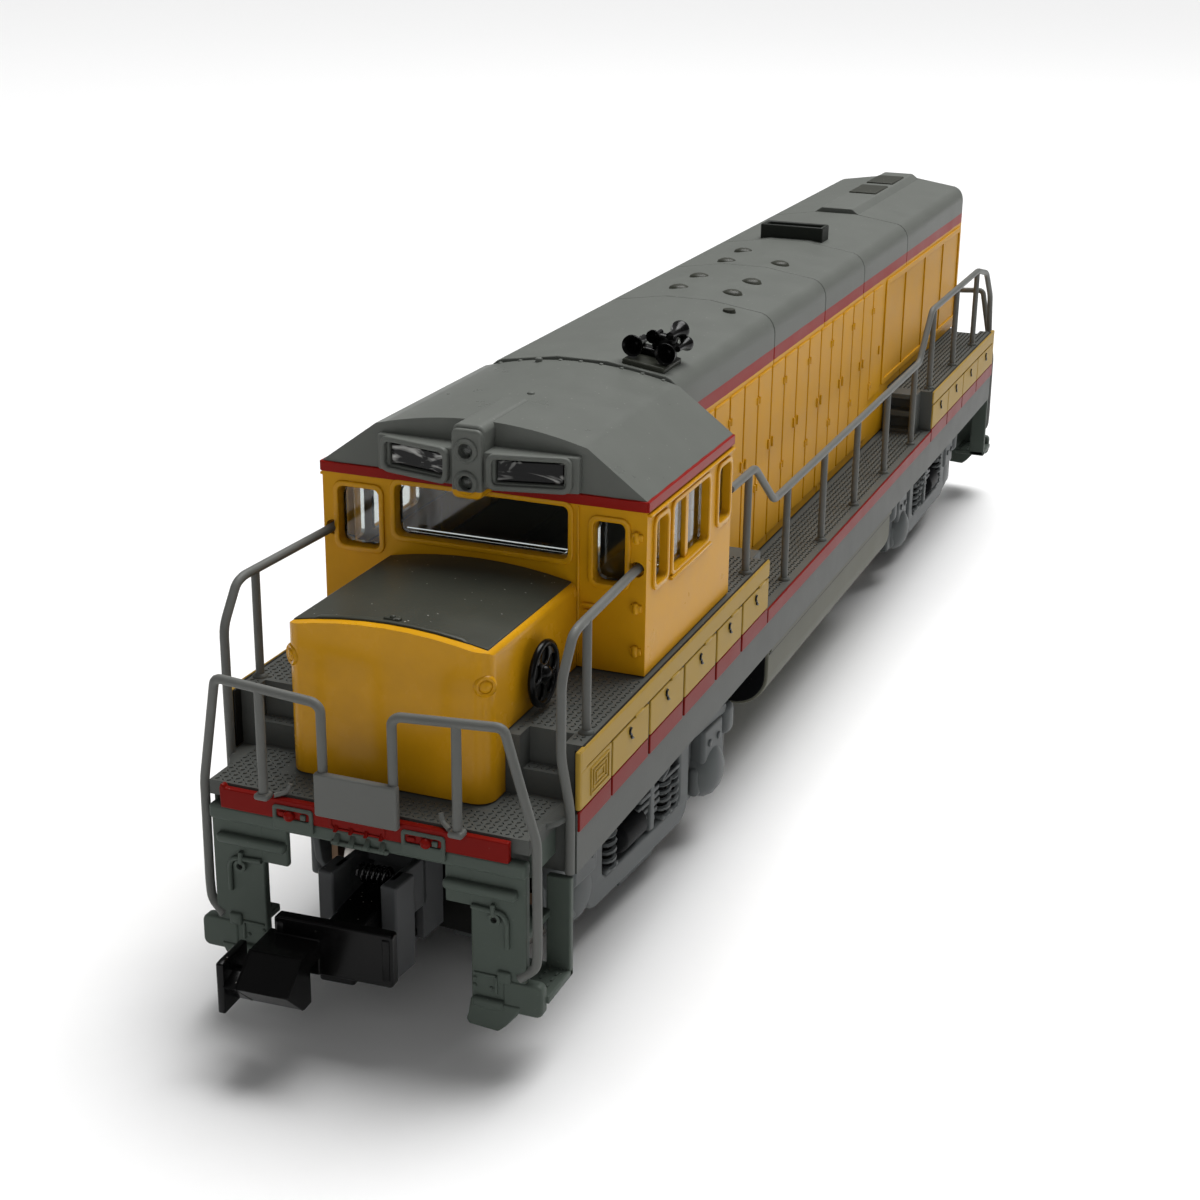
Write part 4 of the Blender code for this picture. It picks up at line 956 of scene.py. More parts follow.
def tread(piece, material, x, y, z, keep_out=()):
    """Rows of small raised lozenges, alternately turned, as on chequer plate."""
    bumps = bmesh.new()
    columns, rows = int((x[1] - x[0]) / TREAD_STEP), int((y[1] - y[0]) / TREAD_STEP)
    for i in range(columns):
        for j in range(rows):
            cx, cy = x[0] + (i + 0.5) * TREAD_STEP, y[0] + (j + 0.5) * TREAD_STEP
            if any(a < cx < b and c < cy < d for (a, b), (c, d) in keep_out):
                continue
            turn = math.radians(45 if (i + j) % 2 else -45)
            along = Vector((math.cos(turn), math.sin(turn), 0)) * LOZENGE[0]
            over = Vector((-math.sin(turn), math.cos(turn), 0)) * LOZENGE[1]
            middle = Vector((cx, cy, z))
            tips = (along, over, -along, -over)
            foot = [bumps.verts.new(middle + p - Vector((0, 0, 0.03))) for p in tips]
            top = [bumps.verts.new(middle + p * 0.5 + Vector((0, 0, 0.065))) for p in tips]
            bumps.faces.new(reversed(foot))
            bumps.faces.new(top)
            for k in range(4):
                m = (k + 1) % 4
                bumps.faces.new((foot[k], foot[m], top[m], top[k]))
    piece.add(material, bumps)


def s_latch(axis_side, x, z):
    """Black folding latch, seen as a small S."""
    y = axis_side * (SILL_Y + 0.16)
    points = [
        (x - 0.25, y, z - 0.3), (x - 0.02, y, z - 0.22), (x, y, z), (x + 0.2, y, z + 0.08),
        (x + 0.22, y, z + 0.32), (x + 0.02, y, z + 0.36),
    ]
    return tube(points, 0.075, 0.1, 8)


def make_decks():
    trim = Piece("deck_trim", "body", slot="deck_grey")
    (b0, b1), (r0, r1) = FRONT_BOX, REAR_BOX
    hood_gap = ((HOOD_X[0] - 0.3, HOOD_X[1] + 0.3), (-6.4, 6.4))
    nose_gap = ((40.9, 52.7), (-5.95, 5.95))
    cab_gap = ((26.4, 41.2), (-9.8, 9.8))
    tread(trim, deck_grey, (r1 + 0.3, b0 - 0.3), (-9.8, 9.8), DECK_Z, (hood_gap,))
    stair_gaps = [(across(end, 48.7, 50.6), span(side, 6.2, 9.0)) for end in SIDES for side in SIDES]
    tread(
        trim, deck_grey, (b0 + 0.2, b1 - 0.2), (-9.7, 9.7), HIGH_DECK_Z,
        (hood_gap, nose_gap, cab_gap, *stair_gaps),
    )
    tread(trim, deck_grey, (r0 + 0.2, r1 - 0.2), (-9.7, 9.7), HIGH_DECK_Z, (hood_gap, *stair_gaps))
    for end in SIDES:
        tread(trim, deck_grey, across(end, 50.35, 54.8), (-8.8, 8.8), DECK_Z, (hood_gap, nose_gap))
        for side in SIDES:
            tread(trim, deck_grey, across(end, 49.1, 49.95), span(side, 6.5, 8.9), 14.43)
    for side in SIDES:
        out = span(side, SILL_Y - 0.05, SILL_Y + 0.12)
        # Red band in lengths with gaps between, and the box doors above it
        lengths = [(46.95, 51.25)] + [door[:2] for door in FRONT_DOORS] + [(-51.25, -44.2), *REAR_DOORS[1:]]
        trim.add(
            red,
            *[box(x, out, BAND_Z, 0.06) for x in lengths],
            box((-25.9, 19.6), out, (12.12, 13.05), 0.06),
        )
        end_plate = span(side, SILL_Y - 0.2, SILL_Y + 0.105)
        trim.add(
            panel_yellow,
            box((b0, 51.05), out, (15.35, 16.4), 0.07),
            box((-51.05, r1), out, (15.35, 16.4), 0.07),
            box((46.95, 51.05), out, (13.26, 15.3), 0.06),
            box((b0, 51.1), span(side, SILL_Y - 0.02, SILL_Y + 0.08), (16.3, 16.46), 0.05),
        )
        for end in SIDES:
            trim.add(panel_yellow, box(across(end, 50.3, 51.2), end_plate, (13.24, 16.42), 0.1, 3))
            # Dull black sheet just inside each end plate: painted shadow in the gap between the plate and the
            # box's corner
            trim.add(dull_black, box(across(end, 50.28, 50.9), span(side, 9.66, 9.8), (13.2, 16.38), 0.02))
        # Dull black strip along the top of each raised box's side: painted shadow in the gap between deck and
        # panel
        for x in ((b0, b1), (r0, r1)):
            trim.add(dull_black, box(x, span(side, 9.84, 9.97), (16.36, 16.43), 0.02))
        hinge_y = span(side, SILL_Y + 0.05, SILL_Y + 0.18)
        for low, high, middle in FRONT_DOORS:
            trim.add(panel_yellow, box((low, high), out, DOOR_Z, 0.06))
            trim.add(gloss_black, s_latch(side, middle, LATCH_Z))
            trim.add(panel_yellow, box((low + 0.9, low + 2.1), hinge_y, (15.2, 15.4), 0.05))
        for low, high in REAR_DOORS:
            trim.add(panel_yellow, box((low, high), out, DOOR_Z, 0.06))
            trim.add(gloss_black, s_latch(side, (low + high) / 2, LATCH_Z))
        # Nested frames on the narrow front panel
        for grow in (0.0, 0.35, 0.7):
            rise = grow * 0.7
            outer = rectangle((47.35 + grow, 49.85 - grow), (13.55 + rise, 15.05 - rise))
            inner = rectangle((47.45 + grow, 49.75 - grow), (13.63 + rise, 14.97 - rise))
            trim.add(panel_yellow, plate("y", side * (SILL_Y + 0.08), side * 0.11, [outer, inner], 0.02))
        # Post bases, and a step box with its recess where each raised box starts
        for posts, z in ((BOX_POSTS, HIGH_DECK_Z), (SIDE_POSTS, DECK_Z)):
            trim.add(deck_grey, *[lathe("z", (x, side * RAIL_Y, z), POST_BASE, 20) for x in posts])
        for wall, way in ((b0, -1), (r1, 1)):
            reach = across(1, wall + way * 1.6, wall - way * 0.05)
            step = box(reach, span(side, 6.25, 9.0), (DECK_Z - 0.05, HIGH_DECK_Z), 0)
            hole = across(1, wall + way * 1.7, wall + way * 0.5)
            step = carve(step, *[box(hole, span(side, 6.7, 8.6), z, 0) for z in ((15.0, 16.0), (13.4, 14.5))])
            trim.add(deck_grey, soften(step, 0.07))
        # Curved lip of the low deck beyond the stairs
        for end in SIDES:
            lip = [(50.2, 8.7), (52.9, 8.7), (52.75, 9.05), (52.2, 9.4), (51.4, 9.62), (50.2, 9.7)]
            lip = [(end * x, side * y) for x, y in lip]
            trim.add(deck_grey, prism("z", lip, 12.75, 13.12, 0.08))
    trim.finish()


# ---------------------------------------------------------------- pilots and handrails

RAIL_R = 0.25
RAIL_Y = 9.4
SIDE_POSTS = (13.9, 5.05, -3.8, -12.65, -21.5)


def end_turn(end):
    return None if end > 0 else Matrix.Rotation(math.pi, 4, "Z")


def make_pilot(end):
    """End sheet, drawn at the front: beam, receptacles, step plates, hoses, feet, treads, stringers."""
    name = "front" if end > 0 else "rear"
    pilot = Piece(f"{name}_pilot", "body", f"pilot_{name}", slot="pilot_grey")
    beam = [
        (-8.05, 11.9), (8.05, 11.9), (8.05, 13.02), (-7.75, 13.02), (-7.85, 13.2), (-8.02, 13.22),
        (-8.1, 13.0),
    ]
    pilot.add(red, prism("x", beam, 54.93, 55.36, 0.08))
    pilot.add(pilot_grey, box((54.5, 55.24), (-8.9, 8.9), (11.08, 11.92), 0.2, 3))
    # Receptacle plates with a red button, and the ribbed bracket between them
    for y in ((-4.95, -2.65), (2.3, 4.7)):
        pilot.add(pilot_grey, box((55.2, 55.5), y, (11.35, 12.05), 0.12))
        frame_loops = [
            rounded(y, (11.5, 12.72), 0.18), rounded((y[0] + 0.2, y[1] - 0.2), (12.05, 12.52), 0.12)
        ]
        pilot.add(pilot_grey, plate("x", 55.3, 0.18, frame_loops, 0.05))
        middle = (y[0] + y[1]) / 2 + (0.15 if y[0] > 0 else -0.2)
        pilot.add(
            red,
            dome("x", (55.42, middle, 12.22), 0.3, 0.3),
            box((55.35, 55.46), (y[0] + 0.35, y[0] + 0.75), (12.15, 12.4), 0.03),
        )
        pilot.add(pilot_grey, box((55.35, 55.5), (y[1] - 0.7, y[1] - 0.4), (12.12, 12.42), 0.04))
    pilot.add(
        red,
        plate(
            "x", 55.32, 0.1,
            [rounded((-1.75, 1.4), (11.95, 12.75), 0.25), rounded((-1.6, 1.25), (12.07, 12.63), 0.2)], 0.03,
        ),
    )
    for k in range(4):
        y = -1.35 + k * 0.85
        pilot.add(red, prism("y", [(55.3, 12.3), (55.6, 11.9), (55.3, 11.9)], y - 0.1, y + 0.1, 0.03))
        pilot.add(
            pilot_grey,
            prism(
                "y", [(55.2, 11.75), (55.55, 11.35), (55.55, 11.15), (55.2, 11.1)], y - 0.14, y + 0.14, 0.04
            ),
        )
    pilot.add(pilot_grey, box((55.15, 55.42), (-1.7, 1.5), (11.05, 11.32), 0.08))
    for side in SIDES:
        def at(low, high):
            return span(side, low, high)

        sheet = [(5.85, 11.5), (5.85, 3.4), (5.7, 2.9), (7.9, 2.9), (8.3, 3.5), (8.85, 3.7), (8.85, 11.5)]
        pilot.add(
            pilot_grey,
            prism("x", [(side * y, z) for y, z in sheet], 54.5, 55.02, 0.1),
            box((54.85, 55.42), at(4.45, 8.45), (9.85, 10.4), 0.2, 3),
            box((54.6, 55.0), at(4.45, 6.0), (9.0, 11.3), 0.1),
            prism(
                "x", [(side * y, z) for y, z in rounded((7.6, 9.75), (3.45, 5.25), 0.38)], 54.4, 55.1, 0.14
            ),
        )
        flare = [
            (5.85, 3.9), (5.72, 3.0), (5.6, 2.6), (5.75, 2.35), (7.35, 2.25), (7.75, 2.6), (8.4, 3.4),
            (8.6, 3.9),
        ]
        pilot.add(
            pilot_grey,
            prism("x", [(side * y, z) for y, z in flare], 54.45, 55.2, 0.12, 3),
            box((54.9, 55.32), at(5.95, 7.7), (3.5, 4.05), 0.17, 3),
        )
        # Hose and cut-off lever, bolts, rib and junction box
        hose = ((55.12, 5.95, 9.1), (55.12, 7.6, 9.0), (55.12, 7.85, 8.6), (55.1, 7.85, 7.1))
        pilot.add(
            pilot_grey,
            tube([(x, side * y, z) for x, y, z in hose], 0.14, 0.5, 10),
            box((54.98, 55.3), at(7.0, 7.25), (8.75, 9.45), 0.06),
            turned_ring(
                "x", (55.1, side * 7.2, 8.62), [(0, 0.16), (0, 0.36), (0.16, 0.34), (0.16, 0.18)], 20
            ),
        )
        pilot.add(dull_black, rod("x", (side * 7.2, 8.62), 0.17, 55.0, 55.12, 12, 0.02))
        pilot.add(
            pilot_grey,
            box((54.95, 55.2), at(7.3, 8.05), (5.05, 5.75), 0.12),
            box((54.95, 55.12), at(7.15, 7.3), (4.3, 5.4), 0.05),
            box((54.95, 55.12), at(6.0, 7.3), (5.25, 5.4), 0.05),
        )
        for y, z in ((6.05, 5.0), (6.05, 4.6), (6.95, 4.6)):
            pilot.add(pilot_grey, dome("x", (55.02, side * y, z), 0.12, 0.12, 10))
        # Treads and rear stringer
        for x, y, z in (((51.4, 54.6), (7.2, 9.9), 4.1), ((51.7, 54.6), (7.2, 8.8), 7.4)):
            pilot.add(pilot_grey, box(x, at(*y), (z, z + 0.42), 0.08))
            for k in range(5):
                for m in range(int((y[1] - y[0]) / 0.6)):
                    u, v = x[0] + 0.4 + k * 0.6, side * (y[0] + 0.4 + m * 0.6)
                    pilot.add(
                        pilot_grey,
                        box((u - 0.16, u + 0.16), (v - 0.07, v + 0.07), (z + 0.4, z + 0.5), 0.03, 1),
                    )
        pilot.add(
            pilot_grey,
            box((51.4, 51.85), at(8.55, 9.9), (4.1, 9.75), 0.1),
            box((51.5, 54.5), at(8.75, 8.95), (10.9, 12.4), 0.07),
        )
    pilot.finish(end_turn(end))


def rail_piece(name, node, path, posts):
    """A handrail along a path, with upright posts at (x, y, foot, top)."""
    piece = Piece(name, "body", node, slot="rail_grey")
    piece.add(rail_grey, tube(path, RAIL_R, 0.55, 16))
    for x, y, foot, top in posts:
        piece.add(rail_grey, tube([(x, y, foot), (x, y, top)], RAIL_R * 0.95, 0, 16))
    piece.finish()


def make_end_rail(end):
    name = "front" if end > 0 else "rear"
    piece = Piece(f"{name}_handrail", "body", f"{name}_railing", slot="rail_grey")
    half = [(55.45, 1.95, 14.9), (55.45, 1.95, 18.45), (55.45, 2.3, 18.75), (55.45, 7.9, 19.15)]
    half += [(54.75, 9.3, 13.0), (54.75, 9.35, 7.2), (54.75, 9.3, 6.1), (54.95, 8.45, 5.45)]
    for side in SIDES:
        piece.add(
            rail_grey,
            tube([(x, side * y, z) for x, y, z in half], RAIL_R, 0.42, 16),
            tube([(55.45, side * 5.4, 13.1), (55.45, side * 5.4, 18.98)], RAIL_R, 0, 16),
            box((55.1, 55.85), span(side, 5.0, 5.8), (12.95, 13.3), 0.14, 3),
            tube(
                [(55.3, side * 4.9, 13.15), (54.9, side * 4.35, 13.25), (54.8, side * 4.2, 13.7)], 0.13, 0.3,
                8,
            ),
        )
    piece.add(rail_grey, box((55.42, 55.88), (-2.3, 2.3), (12.75, 15.1), 0.12, 3))
    piece.finish(end_turn(end))


def make_side_rails():
    for side in SIDES:
        label = "left" if side > 0 else "right"
        y, low = side * RAIL_Y, side * 9.7
        path = [(40.5, side * 9.05, 22.5), (41.6, side * 9.05, 22.5), (49.9, y, 22.5), (50.6, y, 22.3)]
        path += [(52.0, y, 20.4), (52.0, y, 16.4), (51.5, low, 13.4), (51.5, low, 9.9)]
        rail_piece(f"corner_handrail_{label}", f"corner_rail_{label}", path, [(48.7, y, 16.5, 22.5)])
        path = [
            (26.2, y, 22.8), (21.4, y, 22.8), (17.0, y, 19.5), (-22.8, y, 19.5), (-26.4, y, 23.1),
            (-44.5, y, 23.1),
        ]
        path += [(-48.6, y, 22.2), (-51.3, y, 19.6), (-52.1, y, 16.4), (-51.5, low, 13.4), (-51.5, low, 9.9)]
        posts = [
            (22.6, y, 16.5, 22.8), (-27.2, y, 16.5, 23.1), (-36.0, y, 16.5, 23.1), (-44.3, y, 16.5, 23.1)
        ]
        posts += [(x, y, 13.2, 19.5) for x in SIDE_POSTS]
        rail_piece(f"side_handrail_{label}", f"side_rail_{label}", path, posts)


def make_tank():
    tank = Piece("fuel_tank_body", "body", "fuel_tank", slot="tank_olive")
    outline = rounded((-9.3, 9.3), (4.8, 9.7), 2.3, (1, 1, 0, 0), 10)
    inner = rounded((-8.4, 8.4), (5.7, 11.0), 1.6, (1, 1, 0, 0), 5)
    shell = carve(prism("x", outline, -16.4, 16.4, bevel=0), prism("x", inner, -15.5, 15.5, bevel=0))
    tank.add(tank_olive, soften(shell, 0.14, 2, 40))
    for side in SIDES:
        tank.add(tank_olive, box((-16.2, 16.2), span(side, 9.2, 9.46), (8.75, 9.1), 0.08))
        # Dull black strip just under each ledge: painted shadow
        tank.add(dull_black, box((-16.2, 16.2), span(side, 9.2, 9.33), (8.55, 8.72), 0.02))
    # Near-black plates over both ends: the shadow on the tank's end faces is painted in
    for end in SIDES:
        tank.add(
            painted_shade_black,
            prism(
                "x", rounded((-9.1, 9.1), (5.0, 9.6), 2.1, (1, 1, 0, 0), 10), *across(end, 16.3, 16.46), 0.05
            ),
        )
    tank.finish()


# ------------------------------------ trucks, drawn round their own pivot with +x outwards

COUPLER_PIVOT_X = 16.4
COUPLER_TURN = {"front": math.radians(7.4), "rear": 0.0}


def truck_place(name):
    spot = TRUCK_X if name == "front" else -TRUCK_X
    return Matrix.Translation((spot, 0, 0)) @ Matrix.Rotation(TRUCK_TURN[name], 4, "Z")


def coupler_place(name):
    pivot = Matrix.Translation((COUPLER_PIVOT_X, 0, 0))
    return truck_place(name) @ pivot @ Matrix.Rotation(COUPLER_TURN[name], 4, "Z") @ pivot.inverted()


def side_frame(piece, side):
    """Cast side frame: lower strap round the spring nest, journal housings, brackets, top beam."""
    def at(low, high):
        return span(side, low, high)

    half = [
        (0.0, 2.0), (5.0, 2.1), (6.6, 2.9), (11.2, 3.0), (12.0, 4.4), (12.4, 6.9), (11.4, 8.2), (6.5, 8.4),
        (5.0, 9.2), (0.0, 9.4),
    ]
    outline = half + [(-x, z) for x, z in reversed(half) if x > 0]
    piece.add(truck_grey, plate("y", side * 6.85, side * 0.5, [outline], 0.1))
    # Dull black plate behind the spring nest: painted shade in the nest's hollow
    piece.add(dull_black, box((-4.9, 5.9), at(7.2, 7.42), (3.8, 7.9), 0.05))
    # Strap: flat along the bottom and turned up at both ends
    outer = rounded((-5.6, 8.6), (2.72, 8.3), 1.5, (1, 1, 0, 0), 8)
    inner = rounded((-4.2, 6.4), (4.2, 7.7), 0.5, (1, 1, 0, 0), 6)
    piece.add(truck_grey, plate("y", side * 7.25, side * 0.8, [outer, inner], 0.22, 3))
    beam = [
        (-11.4, 7.5), (-6.4, 7.6), (-5.4, 7.8), (5.4, 7.8), (6.4, 7.6), (11.4, 7.5), (11.2, 8.15), (6.6, 8.5),
        (5.1, 9.2), (-5.1, 9.2), (-6.6, 8.5), (-11.2, 8.15),
    ]
    piece.add(truck_grey, prism("y", beam, *at(7.2, 8.1), 0.15, 3))
    # Spring nest: paired coils at the ends, a leaf pack and a brake cylinder between them
    for x in (-3.3, -2.2, 5.3):
        piece.add(truck_grey, coil((x, side * 7.75), 0.42, 0.16, 4.3, 6.9, 5))
        # A dull black core inside each coil: painted shade
        piece.add(dull_black, rod("z", (x, side * 7.75), 0.3, 4.2, 7.0, 10))
    for x, half_width in ((-2.75, 1.2), (5.35, 0.8)):
        for z in (6.7, 4.2):
            piece.add(truck_grey, box((x - half_width, x + half_width), at(7.35, 8.15), (z, z + 0.3), 0.1))
    for k in range(5):
        reach = 1.7 - 0.2 * abs(k - 2)
        z = 4.5 + 0.52 * k
        piece.add(truck_grey, box((0.3 - reach, 0.3 + reach), at(7.35, 7.9 + 0.06 * k), (z, z + 0.33), 0.09))
    piece.add(truck_grey, box((-0.35, 0.3), at(7.4, 8.15), (4.3, 7.8), 0.12))
    # Brake cylinder lying along the frame, with a domed end and a rod, near-black as painted shade
    drum = [(1.2, 0.0), (1.2, 0.85), (1.35, 1.0), (3.9, 1.0), (4.2, 0.8), (4.3, 0.35), (4.3, 0.0)]
    piece.add(
        painted_shade_black, lathe("x", (0, side * 7.45, 5.4), drum, 28),
        rod("x", (side * 7.45, 5.4), 0.22, 4.2, 5.0, 10),
    )
    for k in range(3):
        z = 7.0 + 0.32 * k
        piece.add(dull_black, box((4.3 + 0.3 * k, 5.5 + 0.3 * k), at(7.9, 8.13), (z, z + 0.14), 0.03))
    # Hanging strap and bolt above the nest
    piece.add(
        truck_grey,
        tube(
            [
                (-1.3, side * 8.2, 9.1), (-2.0, side * 8.3, 8.4), (-1.5, side * 8.35, 7.7),
                (-0.7, side * 8.3, 7.3),
            ],
            0.18, 0.3, 8,
        ),
    )
    piece.add(dull_black, rod("y", (-1.2, 8.15), 0.3, *at(8.0, 8.16), 12, 0.02))
    for way in SIDES:
        # Journal housing with a round cap, the pedestal over it and the bracket at the end
        x = way * AXLE_HALF
        bulb = [(7.2, 0.0), (7.2, 1.85), (7.9, 1.75), (8.3, 1.5), (8.6, 1.05), (8.75, 0.5), (8.78, 0.0)]
        if way > 0:
            bulb = [(7.2 + (y - 7.2) * 0.62, r) for y, r in bulb]
        piece.add(
            truck_grey,
            lathe("y", (x, 0, 4.5), [(side * y, r) for y, r in bulb], 36),
            box((x - 1.5, x + 1.5), at(7.2, 8.25), (5.3, 7.7), 0.3, 3),
            box((x - 1.9, x + 1.9), at(7.2, 8.0), (3.2, 5.2), 0.35, 3),
        )
        for dx in (-0.7, 0.7):
            piece.add(truck_grey, rod("y", (x + dx, 6.6), 0.24, *at(8.15, 8.36), 6, 0.03))
        piece.add(
            truck_grey,
            soften(box(across(way, 10.9, 12.3), at(7.0, 8.3), (5.9, 8.0), 0), 0.5, 5),
            box(across(way, 10.3, 11.8), at(7.2, 7.8), (3.2, 6.2), 0.2, 3),
        )


def make_truck(name):
    body = f"{name}_truck"
    place = truck_place(name)
    frame = Piece(f"{name}_truck_sides", body, f"truck_frame_{name}", slot="truck_grey")
    keeper = carve(
        box((-13.4, 11.5), (-3.3, 3.3), (1.5, 2.2), 0),
        *[box(across(way, 5.8, 12.2), (-1.4, 1.4), (1, 3), 0) for way in SIDES],
    )
    frame.add(truck_grey, soften(keeper, 0.1))
    for side in SIDES:
        side_frame(frame, side)
        frame.add(truck_grey, box((-2.4, 2.4), span(side, 3.0, 7.2), (1.5, 2.2), 0.1))
        # Pocket: a wall each side that ends in a deep post
        frame.add(
            pocket_grey,
            box((15.2, 18.4), span(side, 1.45, 1.9), (5.4, 8.2), 0.1),
            box((17.2, 19.1), span(side, 1.42, 2.38), (2.9 if side > 0 else 5.3, 8.2), 0.14, 3),
        )
    frame.add(truck_grey, box((11.7, 13.8), (-7.2, 7.2), (7.45, 8.2), 0.12))
    root = carve(
        box((13.5, 15.6), (-1.9, 1.9), (3.4, 8.2), 0), box((15.0, 16.9), (-1.45, 1.45), (3.5, 7.4), 0)
    )
    frame.add(pocket_grey, soften(root, 0.12, 3), box((13.5, 18.2), (-1.2, 1.2), (2.9, 3.5), 0.12))
    frame.finish(place)

    swung = coupler_place(name)
    spring = Piece(f"{name}_coupler_coil", f"{name}_coupler_pivot", f"coupler_spring_{name}", slot="steel")
    points = []
    for i in range(73):
        t = 2 * math.pi * i / 12
        points.append((17.4 + 0.42 * math.cos(t), -0.92 + 1.84 * i / 72, 7.72 + 0.42 * math.sin(t)))
    spring.add(spring_wire, tube(points, 0.1, 0, 8))
    spring.finish(swung)

    hook = Piece(f"{name}_hook_coupler", f"{name}_coupler", f"coupler_{name}", slot="black_plastic")
    hook.add(
        gloss_black,
        box((15.9, 22.4), (-0.98, 0.98), (4.0, 6.9), 0.15),
        prism("x", rounded((-3.25, 3.25), (4.5, 7.45), 0.2), 22.0, 22.7, 0.1),
        box((21.2, 22.2), (-1.9, 1.9), (4.6, 7.0), 0.3),
        box((22.2, 22.85), (-3.2, -0.7), (4.55, 6.6), 0.1),
    )
    profile = [(22.3, 5.5), (23.85, 5.5), (23.85, 3.6), (24.7, 3.6), (26.4, 5.2), (24.7, 6.5), (22.3, 6.5)]
    hook.add(gloss_black, prism("y", profile, -3.65, -0.7, 0.07))
    bridge = [(23.85, 3.6), (24.7, 3.6), (26.35, 5.15), (25.3, 5.6), (23.85, 5.0)]
    hook.add(gloss_black, prism("y", bridge, -4.35, -3.6, 0.07))
    fin = [(23.7, 3.6), (26.3, 3.6), (26.3, 6.4), (25.9, 6.45), (23.7, 6.4)]
    hook.add(gloss_black, prism("y", fin, -4.65, -4.25, 0.08))
    # Raised line along the ramp's edges and a mould seam across it
    for y in (-0.78, -3.58):
        hook.add(gloss_black, tube([(24.7, y, 6.5), (26.36, y, 5.22), (24.75, y, 3.68)], 0.06, 0.05, 6))
    hook.add(gloss_black, tube([(24.68, -0.72, 6.5), (24.68, -3.62, 6.5)], 0.05, 0, 6))
    for y in (-2.9, 2.9):
        hook.add(gloss_black, box((22.6, 22.78), (y - 0.2, y + 0.2), (4.9, 7.2), 0.06))
    hook.finish(swung)

    for k, way in enumerate((1, -1)):
        for side in SIDES:
            label = "left" if (side > 0) == (name == "front") else "right"
            wheel = Piece(
                f"{name}_wheel_{k + 1}_{label}", f"{name}_axle_{k + 1}", f"wheel_{name}_{k + 1}_{label}",
                slot="steel",
            )
            profile = [
                (2.2, 0.0), (2.2, 0.66), (3.7, 0.68), (3.75, 1.1), (3.95, 1.3), (4.0, 2.5), (3.8, 2.75),
                (3.75, 3.9), (3.83, 4.06), (3.95, 4.1),
            ]
            profile += [
                (4.08, 4.0), (4.18, 3.5), (4.35, 3.22), (5.45, 3.1), (5.55, 3.0), (5.55, 2.65), (5.3, 2.45),
                (5.2, 1.3), (5.45, 1.0),
            ]
            profile += [(5.55, 0.9), (5.6, 0.5), (6.25, 0.42), (6.3, 0.0)]
            wheel.add(
                nickel, lathe("y", (way * AXLE_HALF, 0, AXLE_Z), [(side * a, r) for a, r in profile], 56)
            )
            wheel.finish(place)


# ---------------------------------------------------------------- everything, then the stage

make_cab()
make_nose()
make_hood()
make_decks()
for end in SIDES:
    make_pilot(end)
    make_end_rail(end)
make_side_rails()
make_tank()
for name in ENDS:
    make_truck(name)

# Painted highlight: a thin glowing strip inside the bottom edge of the windshield
glint_strip = Piece("windshield_glint_strip", "body", slot="clear_plastic")
glint_strip.add(windshield_glint, box((39.55, 39.6), (-4.9, 5.0), (22.7, 22.76), 0.01))
glint_strip.finish()

# CAD nodes whose shape is right, each with its material
walkway_side = finish_material("walkway_plastic", DECK_GREY, 0.45, grain=0.2)
KEPT = [
    (walkway_side, "walkway"),
    (clear, "cab_windows"),
    (cast, "chassis_left", "chassis_right"),
    (steel, "chassis_screw_front", "chassis_screw_rear", "motor_case", "motor_shaft"),
    (laminate, "light_board"),
    (brass, "flywheel_front", "flywheel_rear", "worm_front", "worm_rear"),
]
for name in ENDS:
    KEPT += [
        (dull_black, f"gear_tower_{name}", f"axle_gear_{name}_1", f"axle_gear_{name}_2"),
        (nylon, f"worm_gear_{name}", f"idler_gear_{name}_1", f"idler_gear_{name}_2"),
        (bronze, f"contact_{name}_left", f"contact_{name}_right"),
    ]
for material, *nodes in KEPT:
    for node in nodes:
        materials = frame["nodes"][node].data.materials
        materials.clear()
        materials.append(material)

FLOOR_REACH = 4000.0  # millimetres
FLOOR_DROP = 0.00002  # metres: just under the wheels
floor_mesh = bmesh.new()
square = rectangle((-FLOOR_REACH, FLOOR_REACH), (-FLOOR_REACH, FLOOR_REACH))
floor_mesh.faces.new([floor_mesh.verts.new((x * MM, y * MM, -FLOOR_DROP)) for x, y in square])
data = bpy.data.meshes.new("floor")
floor_mesh.to_mesh(data)
floor_mesh.free()
floor = bpy.data.objects.new("floor", data)
bpy.context.scene.collection.objects.link(floor)
paper = finish_material("paper", (0.86, 0.86, 0.86), 0.9, mottle=0.01, grain=0.0, dust=0.0, specular=0.1)
floor.data.materials.append(paper)

WALL_LEVEL = 0.9
world = bpy.data.worlds.new("studio")
bpy.context.scene.world = world
world.use_nodes = True
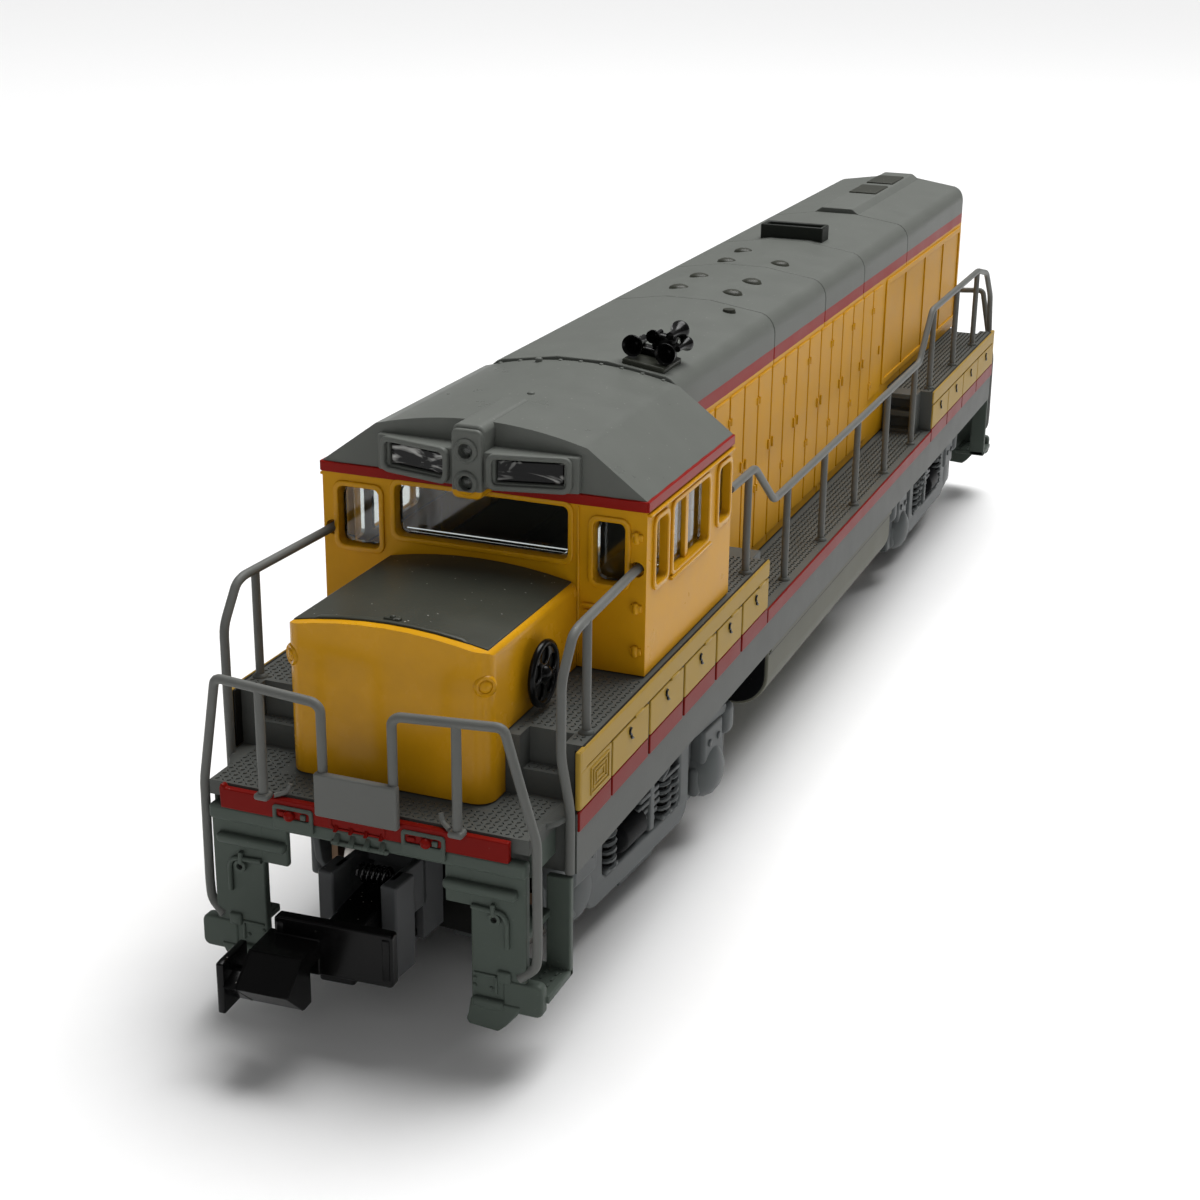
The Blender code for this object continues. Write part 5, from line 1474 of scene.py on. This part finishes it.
# Soft daylight, brightest overhead and a little brighter behind the model than in front. The camera sees an
# even pale wall instead
sky_nodes = Nodes(world.node_tree)
parts = sky_nodes.node("ShaderNodeSeparateXYZ")
sky_nodes.link(sky_nodes.node("ShaderNodeTexCoord").outputs["Generated"], parts.inputs[0])
level = sky_nodes.math("MULTIPLY_ADD", parts.outputs["X"], -0.05, 0.09)
level = sky_nodes.math("MULTIPLY_ADD", parts.outputs["Z"], 0.16, level)
level = sky_nodes.math("MAXIMUM", level, 0.04)
mix = sky_nodes.node("ShaderNodeMix")
mix.data_type = "FLOAT"
sky_nodes.link(sky_nodes.node("ShaderNodeLightPath").outputs["Is Camera Ray"], mix.inputs[0])
sky_nodes.link(level, mix.inputs[2])
mix.inputs[3].default_value = WALL_LEVEL
background = world.node_tree.nodes["Background"]
sky_nodes.link(mix.outputs[0], background.inputs["Strength"])
background.inputs["Color"].default_value = (1.0, 1.0, 1.0, 1.0)


def area_light(name, spot, target, size, power):
    light = bpy.data.lights.new(name, "AREA")
    light.shape = "SQUARE"
    light.size = size
    light.energy = power
    obj = bpy.data.objects.new(name, light)
    obj.location = spot
    obj.rotation_euler = (Vector(target) - Vector(spot)).to_track_quat("-Z", "Y").to_euler()
    bpy.context.scene.collection.objects.link(obj)


area_light("key", (-0.14, 0.05, 0.42), (0.0, 0, 0.015), 0.3, 0.8)
area_light("fill", (0.42, 0.06, 0.22), (0.03, 0, 0.02), 0.3, 0.2)
sun = bpy.data.lights.new("sky", "SUN")
sun.energy = 2.9
sun.angle = math.radians(50)
sky = bpy.data.objects.new("sky", sun)
sky.rotation_euler = Vector((-0.5, 0.06, 1.0)).to_track_quat("Z", "Y").to_euler()
bpy.context.scene.collection.objects.link(sky)

camera_data = bpy.data.cameras.new("camera")
camera_data.lens = 60.81
camera_data.sensor_width = 36.0
camera_data.sensor_fit = "HORIZONTAL"
camera_data.clip_start = 0.001
camera_data.clip_end = 50.0
camera = bpy.data.objects.new("camera", camera_data)
bpy.context.scene.collection.objects.link(camera)
right = (-0.368784, 0.929444, 0.011468)
down = (0.319624, 0.138386, -0.937385)
ahead = (-0.872834, -0.342027, -0.348107)
spot = (0.135342, 0.044005, 0.058173)
camera.matrix_world = Matrix([[right[i], -down[i], -ahead[i], spot[i]] for i in range(3)] + [[0, 0, 0, 1]])
bpy.context.scene.camera = camera
bpy.context.scene.view_settings.view_transform = "Standard"
